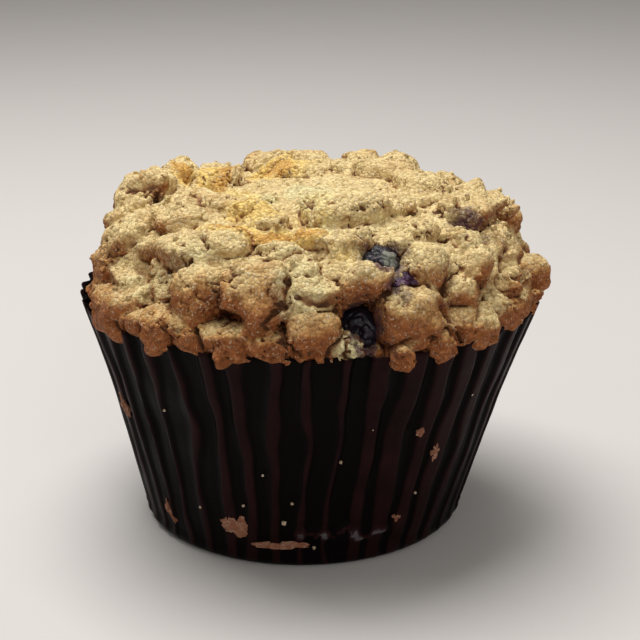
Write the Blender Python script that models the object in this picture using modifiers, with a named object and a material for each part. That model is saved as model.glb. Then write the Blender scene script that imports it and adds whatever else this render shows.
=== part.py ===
"""A blueberry streusel muffin standing in its fluted paper baking cup.

Units are metres and +Z is up. The origin is the centre of the paper cup's flat underside, which the
muffin stands on, and the front faces -Y. A place on the crust is given by two angles: its bearing,
counted from the front towards +X, and its lift above the crust's centre plane.
"""

import math
import random
from dataclasses import dataclass

import bmesh
import bpy
from mathutils import Matrix, Vector, noise

MM = 0.001

# Paper cup
BASE_RADIUS = 31.0 * MM
RIM_RADIUS = 43.5 * MM
CUP_HEIGHT = 45.8 * MM
CORNER_RADIUS = 3.0 * MM
PAPER = 0.15 * MM
FLUTES = 44
FLUTE_DEPTH_LOW = 0.35 * MM
FLUTE_DEPTH_RIM = 1.5 * MM
WALL_ROWS = 5
CORNER_ROWS = 3
WALL_SLOPE = math.atan2(RIM_RADIUS - BASE_RADIUS, CUP_HEIGHT)
RIM_LEAN = 1.8 * MM  # the rim's centre stands this far towards +X of the base's centre

# Baked crumb
GAP = 0.3 * MM  # between the crumb and the paper, and round each berry
CRUST_PLANE = 41.0 * MM  # height of the crust's centre plane
CRUST_RADIUS = 42.0 * MM
CRUST_RISE = 25.0 * MM
CRUST_SQUARENESS = 3.4  # 2 is a round dome, more has a flatter top and steeper sides
TURNED_STEPS = 56
DOME_ROWS = 9
DOME_FROM = 8.0  # degrees of lift where the dome starts over the wall

# Streusel boulders
SUNK = 0.18  # share of a boulder's thickness by which its middle lies under the dome
KNOBBLE = 0.16  # how far a boulder's skin strays from an ellipsoid, as a share of its radius
BACK_RING_LIFTS = (13.0, 24.0, 36.0, 49.0)
BACK_FROM, BACK_TO = 97.0, 266.0  # bearings between which the back's boulders lie
BACK_SPACING = 9.5 * MM

# Crumbs on the paper
STUCK_THICKNESS = 1.2 * MM
STUCK_OUT = 0.62  # a knobbly crumb reaches a little over half its thickness towards the paper

# Blueberries
BERRY_RADIUS = 5.0 * MM
UPPER_BERRY_RADIUS = 4.2 * MM
POCKET_GAP = 0.42 * MM  # its flat faces cut the corners of a true ball, so it is a little over GAP


@dataclass(frozen=True)
class Boulder:
    """One lump of streusel: where it sits in degrees, and its size in millimetres."""

    bearing: float
    lift: float
    width: float
    height: float
    thickness: float
    turn: float = 0.0


FRONT_BOULDERS = (
    # The lowest row, which hangs over the paper's rim, from left to right
    Boulder(-76, 8, 9, 8.5, 5.5),
    Boulder(-57, 7.5, 11, 10.5, 8),
    Boulder(-38, 8, 7.5, 9, 8.5),
    Boulder(-28, 6.5, 4.8, 6.5, 7.5),
    Boulder(-18.5, 8, 7.5, 8, 8.5),
    Boulder(-9, 7, 7.5, 7.5, 8.5),
    Boulder(1, 9, 9.5, 9.5, 8.5),
    Boulder(22, 6.5, 6, 9, 8.5),
    Boulder(24, 14, 11.5, 10.5, 8),
    Boulder(31, 6.5, 6.5, 8.5, 8.5),
    Boulder(44.5, 7, 8, 8.5, 8.5),
    Boulder(58.5, 7, 6.2, 8, 8.5),
    Boulder(69, 7, 6, 7, 8),
    # The second row
    Boulder(-74, 18, 9, 9, 6),
    Boulder(-30.5, 18, 8.5, 9.5, 8),
    Boulder(-14.7, 19.7, 11.5, 13, 8.5),
    Boulder(-1, 19.7, 9, 8, 6.5),
    Boulder(13.8, 24, 9, 6.5, 7, 30),
    Boulder(40.2, 17.5, 6.4, 6, 6),
    Boulder(39.5, 11.5, 6.5, 5.8, 6.5),
    Boulder(57, 14, 7, 7, 6),
    Boulder(67, 13, 5.5, 6, 5.5),
    Boulder(78.5, 12.5, 8, 7.5, 8.5),
    # The upper front face
    Boulder(-57, 17, 9, 4.5, 4.5),
    Boulder(-70, 27, 9, 10, 6),
    Boulder(-41, 30, 10.5, 8, 5.5),
    Boulder(-30, 35.5, 10.5, 7, 5),
    Boulder(-56, 38, 9.5, 8, 5.5),
    Boulder(-8, 31, 8.5, 6.5, 4.5),
    Boulder(7.5, 35.5, 5.2, 4.5, 4.5),
    Boulder(14.5, 36, 5.2, 4.5, 4.5),
    Boulder(32.5, 26, 9, 9, 7),
    Boulder(49, 22.5, 7, 6, 5),
    Boulder(65.5, 24.5, 7, 9.5, 6),
    Boulder(58, 33, 8, 6, 5),
    Boulder(37, 35, 7.5, 6, 4.5),
    # The top
    Boulder(17, 53, 15, 14, 6),
    Boulder(-42, 50, 16, 7, 5, 10),
    Boulder(71, 36, 14, 11, 6.5),
    Boulder(96, 47.5, 13, 11, 6),
    Boulder(-118, 34, 15, 14, 13),
    Boulder(-139, 39, 13, 11, 11),
    Boulder(-97, 32, 14, 13, 12),
    Boulder(-85, 28, 9, 10, 7),
    Boulder(-105, 53, 12, 7, 4),
    Boulder(-156, 60, 14, 12, 7.5),
    Boulder(131, 55, 15, 9, 6),
    Boulder(170, 56, 11, 8, 5.5),
)

COLOUR = {"crumb": (0.62, 0.44, 0.22), "paper": (0.014, 0.005, 0.005), "berry": (0.03, 0.022, 0.06)}
ROUGHNESS = {"crumb": 0.9, "paper": 0.35, "berry": 0.45}

# A leaning solid is an upright one whose every level is slid towards +X in proportion to its height.
LEAN = Matrix.Identity(4)
LEAN[0][2] = RIM_LEAN / CUP_HEIGHT


@dataclass(frozen=True)
class StuckCrumb:
    """A crumb of streusel that stuck to the outside of the paper: bearing, height and size in mm."""

    bearing: float
    height: float
    width: float
    length: float
    turn: float = 0.0


STUCK_CRUMBS = {
    "stuck_crumb_left": StuckCrumb(-64, 26.8, 2.4, 4.6, 12),
    "stuck_crumb_low_left": StuckCrumb(-50.4, 6.9, 1.5, 4.2, 20),
    "stuck_crumb_base_front": StuckCrumb(-22, 8.5, 5.2, 4.4),
    "stuck_crumb_base_strip": StuckCrumb(-7, 5.4, 8.6, 1.9),
    "stuck_crumb_right_upper": StuckCrumb(31.8, 28.1, 1.5, 2.1),
    "stuck_crumb_right": StuckCrumb(39.3, 22.5, 1.8, 3.3),
    "stuck_crumb_low_right": StuckCrumb(31, 9.4, 1.5, 1.6),
}


def clear_scene():
    """Removes every object, so that only the muffin is left at the end."""
    for obj in list(bpy.data.objects):
        bpy.data.objects.remove(obj)


def new_collection(name):
    """A new collection in the scene."""
    made = bpy.data.collections.new(name)
    bpy.context.scene.collection.children.link(made)
    return made


def finish(name):
    """A Principled material with the colour and roughness of one of the muffin's surfaces."""
    made = bpy.data.materials.new(name)
    made.use_nodes = True
    shader = made.node_tree.nodes["Principled BSDF"]
    shader.inputs["Base Color"].default_value = (*COLOUR[name], 1.0)
    shader.inputs["Roughness"].default_value = ROUGHNESS[name]
    shader.inputs["Metallic"].default_value = 0.0
    return made


def place(name, mesh, collection, material=None):
    """Links a mesh to a collection as an object of that name."""
    obj = bpy.data.objects.new(name, mesh)
    collection.objects.link(obj)
    if material is not None:
        mesh.materials.clear()
        mesh.materials.append(material)
    return obj


def hide_cutter(obj):
    """Marks an object as a helper, which is no piece of the muffin."""
    obj.hide_render = True
    obj.display_type = "WIRE"
    return obj


def turned(name, profile, steps):
    """The mesh of a profile turned about Z and leaned with the cup.

    The profile's (radius, height) points run up its outer side, and are turned from the top down, so
    that the faces point outwards.
    """
    line = bpy.data.meshes.new(name + "_profile")
    points = [(radius, 0.0, height) for radius, height in reversed(profile)]
    line.from_pydata(points, [(i, i + 1) for i in range(len(points) - 1)], [])
    spun = place(name + "_spun", line, bpy.context.scene.collection)
    screw = spun.modifiers.new("turn", "SCREW")
    screw.steps = screw.render_steps = steps
    screw.use_merge_vertices = True
    screw.merge_threshold = 1e-5
    bpy.context.view_layer.update()
    mesh = bpy.data.meshes.new_from_object(spun.evaluated_get(bpy.context.evaluated_depsgraph_get()))
    bpy.data.objects.remove(spun)
    mesh.name = name
    mesh.transform(LEAN)
    return mesh


def crest_radius(height):
    """The wall's radius over its flutes at a height above the corner's bend."""
    return BASE_RADIUS + (RIM_RADIUS - BASE_RADIUS) * height / CUP_HEIGHT


def flute_depth(height):
    """How deep the flutes are at a height: nothing on the base, and most at the rim."""
    share = min(max(height / CUP_HEIGHT, 0.0), 1.0)
    return FLUTE_DEPTH_LOW + (FLUTE_DEPTH_RIM - FLUTE_DEPTH_LOW) * share


def corner_points(offset):
    """The bend between the base and the wall, pushed outwards by an offset, from the base upwards."""
    centre = Vector((crest_radius(CORNER_RADIUS) - CORNER_RADIUS, CORNER_RADIUS))
    points = []
    for row in range(CORNER_ROWS + 1):
        angle = -math.pi / 2 + (math.pi / 2 - WALL_SLOPE) * row / CORNER_ROWS
        radius = CORNER_RADIUS + offset
        points.append((centre.x + radius * math.cos(angle), centre.y + radius * math.sin(angle)))
    return points


def paper_profile():
    """The cup's outer line, from the middle of the base to the rim."""
    corner = corner_points(0.0)
    start = corner[-1][1]
    wall = []
    for row in range(1, WALL_ROWS + 1):
        height = start + (CUP_HEIGHT - start) * row / WALL_ROWS
        wall.append((crest_radius(height), height))
    return [(0.0, 0.0), *corner, *wall]


def make_paper_cup(collection, material):
    """The fluted cup: a turned sheet whose every second line is drawn in, given the paper's thickness."""
    mesh = turned("paper_cup", paper_profile(), 2 * FLUTES)
    chance = random.Random(4)
    pressed = [chance.uniform(0.55, 1.0) for _ in range(FLUTES)]  # baking presses some flutes flatter
    upright = LEAN.inverted()
    for vertex in mesh.vertices:
        point = upright @ vertex.co
        radius = math.hypot(point.x, point.y)
        line = round(math.atan2(point.y, point.x) / math.pi * FLUTES) % (2 * FLUTES)
        if line % 2 and point.z > 0.0:
            drawn = flute_depth(point.z) * min(point.z / CORNER_RADIUS, 1.0) * pressed[line // 2]
            share = (radius - drawn) / radius
            vertex.co = LEAN @ Vector((point.x * share, point.y * share, point.z))
    cup = place("paper_cup", mesh, collection, material)
    sheet = cup.modifiers.new("paper", "SOLIDIFY")
    sheet.thickness = PAPER
    sheet.offset = -1.0
    sheet.use_even_offset = False
    return cup


def dome_point(lift):
    """(radius, height) of the crust's dome at a lift in degrees above its centre plane."""
    angle = math.radians(lift)
    across = abs(math.cos(angle)) / CRUST_RADIUS
    up = abs(math.sin(angle)) / CRUST_RISE
    reach = (across**CRUST_SQUARENESS + up**CRUST_SQUARENESS) ** (-1 / CRUST_SQUARENESS)
    return reach * math.cos(angle), CRUST_PLANE + reach * math.sin(angle)


def crumb_profile():
    """The baked crumb's outer line: up inside the paper, and over the dome to the middle of the top."""
    inside = GAP + PAPER
    corner = corner_points(-inside)
    wall_radius = crest_radius(CRUST_PLANE) - inside
    lifts = [DOME_FROM + (90.0 - DOME_FROM) * row / DOME_ROWS for row in range(DOME_ROWS)]
    dome = [dome_point(lift) for lift in lifts]
    top = (0.0, CRUST_PLANE + CRUST_RISE)
    return [(0.0, corner[0][1]), *corner, (wall_radius, CRUST_PLANE), *dome, top]


def clearance_profile():
    """The room that the paper needs: a thick cup outline from the middle of the base, out and back in."""
    outer = corner_points(2 * GAP)
    slot_top = CUP_HEIGHT + GAP
    valley = FLUTE_DEPTH_RIM + PAPER + GAP
    low_valley = FLUTE_DEPTH_LOW + PAPER + GAP
    return [
        (0.0, outer[0][1]),
        *outer,
        (crest_radius(slot_top) + GAP, slot_top),
        (crest_radius(slot_top) - valley, slot_top),
        (crest_radius(CORNER_RADIUS) - low_valley, CORNER_RADIUS),
        (BASE_RADIUS - CORNER_RADIUS, PAPER + GAP),
        (0.0, PAPER + GAP),
    ]


def crust_frame(bearing, lift, out):
    """The matrix that stands a piece on the dome, some way out of it: X to its side, Y up, Z outwards."""
    radius, height = dome_point(lift)
    ahead, behind = dome_point(lift + 2.0), dome_point(lift - 2.0)
    climb = Vector((ahead[0] - behind[0], ahead[1] - behind[1])).normalized()
    turn = math.radians(bearing)
    outwards = Vector((math.sin(turn), -math.cos(turn), 0.0))
    along = Vector((math.cos(turn), math.sin(turn), 0.0))
    up_slope = outwards * climb.x + Vector((0.0, 0.0, climb.y))
    normal = along.cross(up_slope)
    place_at = LEAN @ (outwards * radius + Vector((0.0, 0.0, height))) + normal * out
    axes = Matrix((along, up_slope, normal)).transposed().to_4x4()
    return Matrix.Translation(place_at) @ axes


def lump(name, matrix, size, seed, knobble=KNOBBLE):
    """The mesh of a knobbly ellipsoid of a size, set by a matrix."""
    shape = bmesh.new()
    bmesh.ops.create_icosphere(shape, subdivisions=2, radius=1.0)
    shift = Vector((seed * 3.7, seed * 1.3, seed * 5.1))
    for vertex in shape.verts:
        direction = vertex.co.normalized()
        stray = 1.0 + knobble * 2.0 * noise.noise(direction * 1.3 + shift)
        vertex.co = Vector(stray * direction[i] * size[i] / 2 for i in range(3))
    bmesh.ops.transform(shape, matrix=matrix, verts=shape.verts)
    bmesh.ops.recalc_face_normals(shape, faces=shape.faces)
    mesh = bpy.data.meshes.new(name)
    shape.to_mesh(mesh)
    shape.free()
    return mesh


def back_boulders():
    """The boulders of the back, in rings, with sizes and places that vary."""
    chance = random.Random(12)
    made = []
    for lift in BACK_RING_LIFTS:
        radius = dome_point(lift)[0]
        arc = math.radians(BACK_TO - BACK_FROM) * radius
        count = max(2, round(arc / BACK_SPACING))
        for step in range(count):
            bearing = BACK_FROM + (BACK_TO - BACK_FROM) * (step + chance.uniform(0.3, 0.7)) / count
            width = chance.uniform(7.0, 11.5)
            height = chance.uniform(6.5, 10.0)
            jittered = lift + chance.uniform(-2.0, 2.5)
            made.append(Boulder(bearing, jittered, width, height, chance.uniform(5.0, 7.5)))
    return made


def make_boulders(collection):
    """Every streusel boulder, as a helper that the crumb is joined with."""
    for number, boulder in enumerate([*FRONT_BOULDERS, *back_boulders()]):
        name = f"boulder_{number:02d}"
        thickness = boulder.thickness * MM
        frame = crust_frame(boulder.bearing, boulder.lift, -SUNK * thickness)
        frame = frame @ Matrix.Rotation(math.radians(boulder.turn), 4, "Z")
        size = (boulder.width * MM, boulder.height * MM, thickness)
        hide_cutter(place(name, lump(name, frame, size, number), collection))


def berry_centres():
    """Where the two visible blueberries lie: one low in the front hole, and one in the upper front face."""
    low = crust_frame(12.0, 10.0, -4.6 * MM).translation
    upper = crust_frame(19.5, 29.5, -2.4 * MM).translation
    return {"blueberry_front": (low, BERRY_RADIUS), "blueberry_upper": (upper, UPPER_BERRY_RADIUS)}


def ball(name, centre, radius):
    """The mesh of a ball."""
    shape = bmesh.new()
    bmesh.ops.create_uvsphere(shape, u_segments=20, v_segments=12, radius=radius)
    bmesh.ops.translate(shape, vec=centre, verts=shape.verts)
    mesh = bpy.data.meshes.new(name)
    shape.to_mesh(mesh)
    shape.free()
    return mesh


def make_berries(collection, cutters, material):
    """The blueberries, and the pockets that they need in the crumb."""
    for name, (centre, radius) in berry_centres().items():
        berry = place(name, ball(name, centre, radius), collection, material)
        berry.data.shade_smooth()
        pocket = ball(name + "_pocket", centre, radius + POCKET_GAP)
        hide_cutter(place(name + "_pocket", pocket, cutters))


def make_pits(cutters):
    """The open hole over the low front berry, and the split that shows the upper one."""
    pits = {
        "front_pit": (12.0, 12.5, (7.0, 11.0, 9.0), 1.5),
        "upper_pit": (19.5, 29.5, (7.5, 7.0, 6.0), 1.8),
    }
    for number, (name, (bearing, lift, size, out)) in enumerate(pits.items()):
        frame = crust_frame(bearing, lift, out * MM)
        size = [side * MM for side in size]
        hide_cutter(place(name, lump(name, frame, size, number, KNOBBLE / 2), cutters))


def join(obj, operation, operand):
    """Adds an exact Boolean with an object or with every object of a collection."""
    step = obj.modifiers.new(operation.lower(), "BOOLEAN")
    step.operation = operation
    if isinstance(operand, bpy.types.Collection):
        step.operand_type = "COLLECTION"
        step.collection = operand
    else:
        step.object = operand


def make_muffin(collection, boulders, cutters, material):
    """The baked crumb with its streusel crust, cut clear of the paper and of the berries."""
    mesh = turned("muffin", crumb_profile(), TURNED_STEPS)
    muffin = place("muffin", mesh, collection, material)
    room = turned("paper_clearance", clearance_profile(), TURNED_STEPS)
    hide_cutter(place("paper_clearance", room, cutters))
    join(muffin, "UNION", boulders)
    for cutter in list(cutters.objects):
        join(muffin, "DIFFERENCE", cutter)
    return muffin


def make_stuck_crumbs(collection, material):
    """The crumbs that stuck to the outside of the paper, each just clear of it."""
    for number, (name, crumb) in enumerate(STUCK_CRUMBS.items()):
        height = crumb.height * MM
        turn = math.radians(crumb.bearing)
        outwards = Vector((math.sin(turn), -math.cos(turn), 0.0))
        along = Vector((math.cos(turn), math.sin(turn), 0.0))
        up_wall = outwards * math.sin(WALL_SLOPE) + Vector((0.0, 0.0, math.cos(WALL_SLOPE)))
        normal = along.cross(up_wall)
        surface = outwards * crest_radius(height) + Vector((0.0, 0.0, height))
        centre = LEAN @ surface + normal * (STUCK_THICKNESS * STUCK_OUT + GAP)
        axes = Matrix((along, up_wall, normal)).transposed().to_4x4()
        matrix = Matrix.Translation(centre) @ axes @ Matrix.Rotation(math.radians(crumb.turn), 4, "Z")
        size = (crumb.width * MM, crumb.length * MM, STUCK_THICKNESS)
        place(name, lump(name, matrix, size, number), collection, material)


def main():
    """Builds the muffin, its berries, its paper cup and the crumbs on the paper."""
    clear_scene()
    pieces = new_collection("muffin")
    boulders = new_collection("boulders")
    cutters = new_collection("cutters")
    crumb, paper, berry = finish("crumb"), finish("paper"), finish("berry")
    make_paper_cup(pieces, paper)
    make_boulders(boulders)
    make_pits(cutters)
    make_berries(pieces, cutters, berry)
    make_muffin(pieces, boulders, cutters, crumb)
    make_stuck_crumbs(pieces, crumb)


main()
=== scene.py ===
"""A jumbo blueberry streusel muffin in its fluted paper cup, finished for its portrait.

Everything is in metres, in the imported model's frame: the origin is the middle of the cup's flat underside, +Z is up
and the front faces -Y. A place on the crust is a bearing, in degrees from the front towards +X, and a lift, in degrees
above the crust's centre plane.
"""

import logging
import math
import random
from dataclasses import dataclass
from enum import Enum
from typing import Any, Callable, Iterable, Sequence, Union

import bmesh
import bpy
import numpy as np
from mathutils import Matrix, Vector, noise


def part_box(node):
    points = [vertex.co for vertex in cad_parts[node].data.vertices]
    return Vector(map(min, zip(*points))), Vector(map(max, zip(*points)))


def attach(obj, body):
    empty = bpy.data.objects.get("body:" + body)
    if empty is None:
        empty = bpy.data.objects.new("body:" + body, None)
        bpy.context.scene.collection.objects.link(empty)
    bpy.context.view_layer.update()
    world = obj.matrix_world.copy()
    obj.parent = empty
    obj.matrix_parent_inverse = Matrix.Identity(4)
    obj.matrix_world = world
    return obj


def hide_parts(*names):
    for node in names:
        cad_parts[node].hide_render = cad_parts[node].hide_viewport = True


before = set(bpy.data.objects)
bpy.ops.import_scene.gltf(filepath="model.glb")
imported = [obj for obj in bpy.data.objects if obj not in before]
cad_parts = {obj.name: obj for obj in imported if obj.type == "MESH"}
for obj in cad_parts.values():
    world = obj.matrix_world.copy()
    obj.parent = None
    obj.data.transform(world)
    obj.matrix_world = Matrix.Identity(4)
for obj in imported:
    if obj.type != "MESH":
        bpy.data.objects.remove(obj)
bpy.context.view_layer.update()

MM = 0.001
BODY = "root"
# The most any turn by chance may be, in radians
FULL_TURN = 6.28
# What stands in for 0 where it would divide
TINY = 1e-6
# A distance, in a lump's own radii, that is off every lump
FAR_OFF = 9.0
# The most nuggets, and the most loose grains, that a square metre may take
NUGGET_DENSITY, GRAIN_DENSITY = 3.0e5, 1.0e6
log = logging.getLogger("muffin")
Triple = tuple[float, float, float]
Colour = Triple


# ---- Node graphs ----


def math_operator(operation: str, swapped: bool = False) -> Callable[["Wire", "Value"], "Wire"]:
    """A Python operator of Wire that adds a Math node.

    Args:
        operation: The node's operation.
        swapped: Whether the wire stands on the operator's right.

    Returns:
        The operator.
    """

    def operate(wire: "Wire", other: "Value") -> "Wire":
        """Works out the operation on a wire and a value."""
        return wire.graph.math(operation, *((other, wire) if swapped else (wire, other)))

    return operate


class Wire:
    """An output socket that adds Math nodes when it is used in an expression."""

    def __init__(self, graph: "Graph", socket: bpy.types.NodeSocket) -> None:
        """Wraps a socket of a graph's node."""
        self.graph = graph
        self.socket = socket

    __add__ = __radd__ = math_operator("ADD")
    __sub__, __rsub__ = math_operator("SUBTRACT"), math_operator("SUBTRACT", swapped=True)
    __mul__ = __rmul__ = math_operator("MULTIPLY")
    __truediv__, __pow__ = math_operator("DIVIDE"), math_operator("POWER")

    def ramp(self, start: "Value", end: "Value", low: "Value" = 0.0, high: "Value" = 1.0) -> "Wire":
        """Eases this value from low at start to high at end, and holds it outside them.

        Args:
            start: The value where the ramp leaves low.
            end: The value where the ramp reaches high.
            low: The result at and before start.
            high: The result at and after end.

        Returns:
            The eased value.
        """
        inputs = {"Value": self, "From Min": start, "From Max": end, "To Min": low, "To Max": high}
        return self.graph.node("ShaderNodeMapRange", {"interpolation_type": "SMOOTHSTEP"}, inputs).out("Result")


Value = Union[Wire, float, int, bool, Sequence[float], bpy.types.ID]


class Step:
    """A node that has been placed in a graph."""

    def __init__(self, graph: "Graph", node: bpy.types.Node) -> None:
        """Wraps a node of a graph."""
        self.graph = graph
        self.node = node

    def out(self, name: str) -> Wire:
        """The output of that name that the node's settings leave in use."""
        return Wire(self.graph, next(s for s in self.node.outputs if s.enabled and s.name == name))


class Graph:
    """A node tree that is being built."""

    def __init__(self, tree: bpy.types.NodeTree) -> None:
        """Starts on an empty tree."""
        self.tree = tree
        self.tree.nodes.clear()

    def node(self, kind: str, settings: dict[str, Any], inputs: dict[Any, Value]) -> Step:
        """Places a node.

        Args:
            kind: The node's type.
            settings: The node's own settings, which are set first.
            inputs: A value or a link for each socket, by its name, or by its index where names repeat.

        Returns:
            The placed node.
        """
        made = self.tree.nodes.new(kind)
        for name, setting in settings.items():
            setattr(made, name, setting)
        for key, value in inputs.items():
            if isinstance(key, int):
                socket = made.inputs[key]
            else:
                socket = next(s for s in made.inputs if s.enabled and s.name == key)
            self._put(socket, value)
        return Step(self, made)

    def _put(self, socket: bpy.types.NodeSocket, value: Value) -> None:
        """Links or sets one input socket.

        Args:
            socket: The input socket.
            value: A link, or a number, vector or colour to set.
        """
        if isinstance(value, Wire):
            self.tree.links.new(value.socket, socket)
        elif socket.type == "RGBA":
            socket.default_value = (*value, 1.0)
        else:
            socket.default_value = value

    def math(self, operation: str, *values: Value) -> Wire:
        """A Math node on one to three values."""
        inputs = dict(enumerate(values))
        return self.node("ShaderNodeMath", {"operation": operation}, inputs).out("Value")

    def vector(self, operation: str, first: Value, second: Value) -> Wire:
        """A Vector Math node on two vectors, or on a vector and a scale."""
        key = "Scale" if operation == "SCALE" else 1
        return self.node("ShaderNodeVectorMath", {"operation": operation}, {0: first, key: second}).out("Vector")

    def mix(self, share: Value, first: Value, second: Value, blend: str = "MIX") -> Wire:
        """Mixes two colours by a share from 0, the first, to 1, the second."""
        settings = {"data_type": "RGBA", "blend_type": blend, "clamp_factor": True}
        return self.node("ShaderNodeMix", settings, {"Factor": share, "A": first, "B": second}).out("Result")

    def upward(self, vector: Value) -> Wire:
        """The Z part of a vector."""
        return self.node("ShaderNodeSeparateXYZ", {}, {"Vector": vector}).out("Z")

    def speckle(self, where: Value, size: float, detail: float = 2.0, roughness: float = 0.5) -> Wire:
        """Noise around 0.5 whose blotches are of a size in metres."""
        inputs = {"Vector": where, "Scale": 1.0 / size, "Detail": detail, "Roughness": roughness}
        return self.node("ShaderNodeTexNoise", {}, inputs).out("Fac")

    def cells(self, where: Value, size: float) -> Step:
        """Cells of a size in metres, with the distance to each cell's middle in cell sizes."""
        inputs = {"Vector": where, "Scale": 1.0 / size, "Randomness": 1.0}
        return self.node("ShaderNodeTexVoronoi", {"feature": "F1"}, inputs)


class ShapeGraph(Graph):
    """A Geometry Nodes tree with named sizes, which is run once on an object and leaves a plain mesh."""

    def __init__(self, name: str) -> None:
        """Starts a tree that takes and gives geometry.

        Args:
            name: The tree's name.
        """
        super().__init__(bpy.data.node_groups.new(name, "GeometryNodeTree"))
        self.tree.interface.new_socket("Geometry", in_out="INPUT", socket_type="NodeSocketGeometry")
        self.tree.interface.new_socket("Geometry", in_out="OUTPUT", socket_type="NodeSocketGeometry")
        self.entry = Step(self, self.tree.nodes.new("NodeGroupInput"))
        self.values: dict[str, Any] = {}

    @property
    def geometry(self) -> Wire:
        """The geometry that comes in."""
        return self.entry.out("Geometry")

    def size(self, name: str, value: float) -> Wire:
        """Adds a named size as an input of the tree."""
        return self._input(name, value, "NodeSocketFloat")

    def count(self, name: str, value: int) -> Wire:
        """Adds a named whole number, such as a seed, as an input of the tree."""
        return self._input(name, value, "NodeSocketInt")

    def _input(self, name: str, value: Any, kind: str) -> Wire:
        """Adds an input socket and notes the value that its modifier will set."""
        socket = self.tree.interface.new_socket(name, in_out="INPUT", socket_type=kind)
        self.values[socket.identifier] = value
        return self.entry.out(name)

    def attribute(self, name: str) -> Wire:
        """A number stored on the geometry under a name."""
        return self.node("GeometryNodeInputNamedAttribute", {"data_type": "FLOAT"}, {"Name": name}).out("Attribute")

    def position(self) -> Wire:
        """Where each point is."""
        return self.node("GeometryNodeInputPosition", {}, {}).out("Position")

    def normal(self) -> Wire:
        """Which way the surface faces at each point."""
        return self.node("GeometryNodeInputNormal", {}, {}).out("Normal")

    def store(self, geometry: Wire, name: str, value: Value) -> Wire:
        """Stores a number on every point of the geometry under a name."""
        inputs = {"Geometry": geometry, "Name": name, "Value": value}
        settings = {"data_type": "FLOAT", "domain": "POINT"}
        return self.node("GeometryNodeStoreNamedAttribute", settings, inputs).out("Geometry")

    def move(self, geometry: Wire, offset: Value) -> Wire:
        """Moves every point of the geometry by an offset."""
        return self.node("GeometryNodeSetPosition", {}, {"Geometry": geometry, "Offset": offset}).out("Geometry")

    def eased(self, vector: Wire, rounds: int) -> Wire:
        """A vector that is blurred over the mesh a number of times."""
        inputs = {"Value": vector, "Iterations": rounds, "Weight": 1.0}
        return self.node("GeometryNodeBlurAttribute", {"data_type": "FLOAT_VECTOR"}, inputs).out("Value")

    def scatter(self, spacing: Wire, density: float, share: Wire, seed: Wire) -> Step:
        """Strews points over the faces that come in.

        Args:
            spacing: The least distance between two points.
            density: The most points that a square metre may take.
            share: How much of that density a place takes, from 0 to 1.
            seed: What fixes the points' places.

        Returns:
            The node that gives the points and the way that each one faces.
        """
        inputs = {"Mesh": self.geometry, "Distance Min": spacing, "Density Max": density}
        inputs |= {"Density Factor": share, "Seed": seed}
        return self.node("GeometryNodeDistributePointsOnFaces", {"distribute_method": "POISSON"}, inputs)

    def chance(self, low: Triple, high: Triple, seed: Value = 0) -> Wire:
        """Three numbers between two sets of limits, drawn anew for each point."""
        inputs = {"Min": low, "Max": high, "Seed": seed}
        return self.node("FunctionNodeRandomValue", {"data_type": "FLOAT_VECTOR"}, inputs).out("Value")

    def balls(self, points: Wire, radius: Value, subdivisions: int, scale: Wire, seed: Wire) -> Wire:
        """Stands a ball on every point, turned at random.

        Args:
            points: Where the balls stand.
            radius: Their radius before they are scaled.
            subdivisions: How round they are.
            scale: The scale of each along its own axes.
            seed: What fixes their turns.

        Returns:
            The balls as real meshes.
        """
        ball = self.node("GeometryNodeMeshIcoSphere", {}, {"Radius": radius, "Subdivisions": subdivisions})
        turn = self.chance((0.0, 0.0, 0.0), (FULL_TURN, FULL_TURN, FULL_TURN), seed)
        inputs = {"Points": points, "Instance": ball.out("Mesh"), "Rotation": turn, "Scale": scale}
        placed = self.node("GeometryNodeInstanceOnPoints", {}, inputs).out("Instances")
        return self.node("GeometryNodeRealizeInstances", {}, {"Geometry": placed}).out("Geometry")

    def knobbly(self, geometry: Wire, size: float, depth: Value, detail: float = 2.0) -> Wire:
        """Pushes the geometry's points about by chance.

        Args:
            geometry: What is made knobbly.
            size: The size of a knob, in metres.
            depth: How far a point moves, from one extreme to the other.
            detail: How many finer layers the knobs have.

        Returns:
            The knobbly geometry.
        """
        inputs = {"Vector": self.position(), "Scale": 1.0 / size, "Detail": detail}
        knobs = self.node("ShaderNodeTexNoise", {}, inputs).out("Color")
        stray = self.vector("SUBTRACT", knobs, (0.5, 0.5, 0.5))
        return self.move(geometry, self.vector("SCALE", stray, depth))

    def run(self, obj: bpy.types.Object, geometry: Wire, material: bpy.types.Material) -> None:
        """Ends the tree and replaces the object's mesh with its plain result.

        Args:
            obj: The object that the tree works on. Its other modifiers run first.
            geometry: What the tree gives.
            material: The finish of the result.
        """
        real = self.node("GeometryNodeRealizeInstances", {}, {"Geometry": geometry}).out("Geometry")
        inputs = {"Geometry": real, "Material": material}
        dressed = self.node("GeometryNodeSetMaterial", {}, inputs).out("Geometry")
        self.node("NodeGroupOutput", {}, {"Geometry": dressed})
        modifier = obj.modifiers.new(self.tree.name, "NODES")
        modifier.node_group = self.tree
        for identifier, value in self.values.items():
            modifier[identifier] = value
        bake_modifiers(obj)


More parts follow.
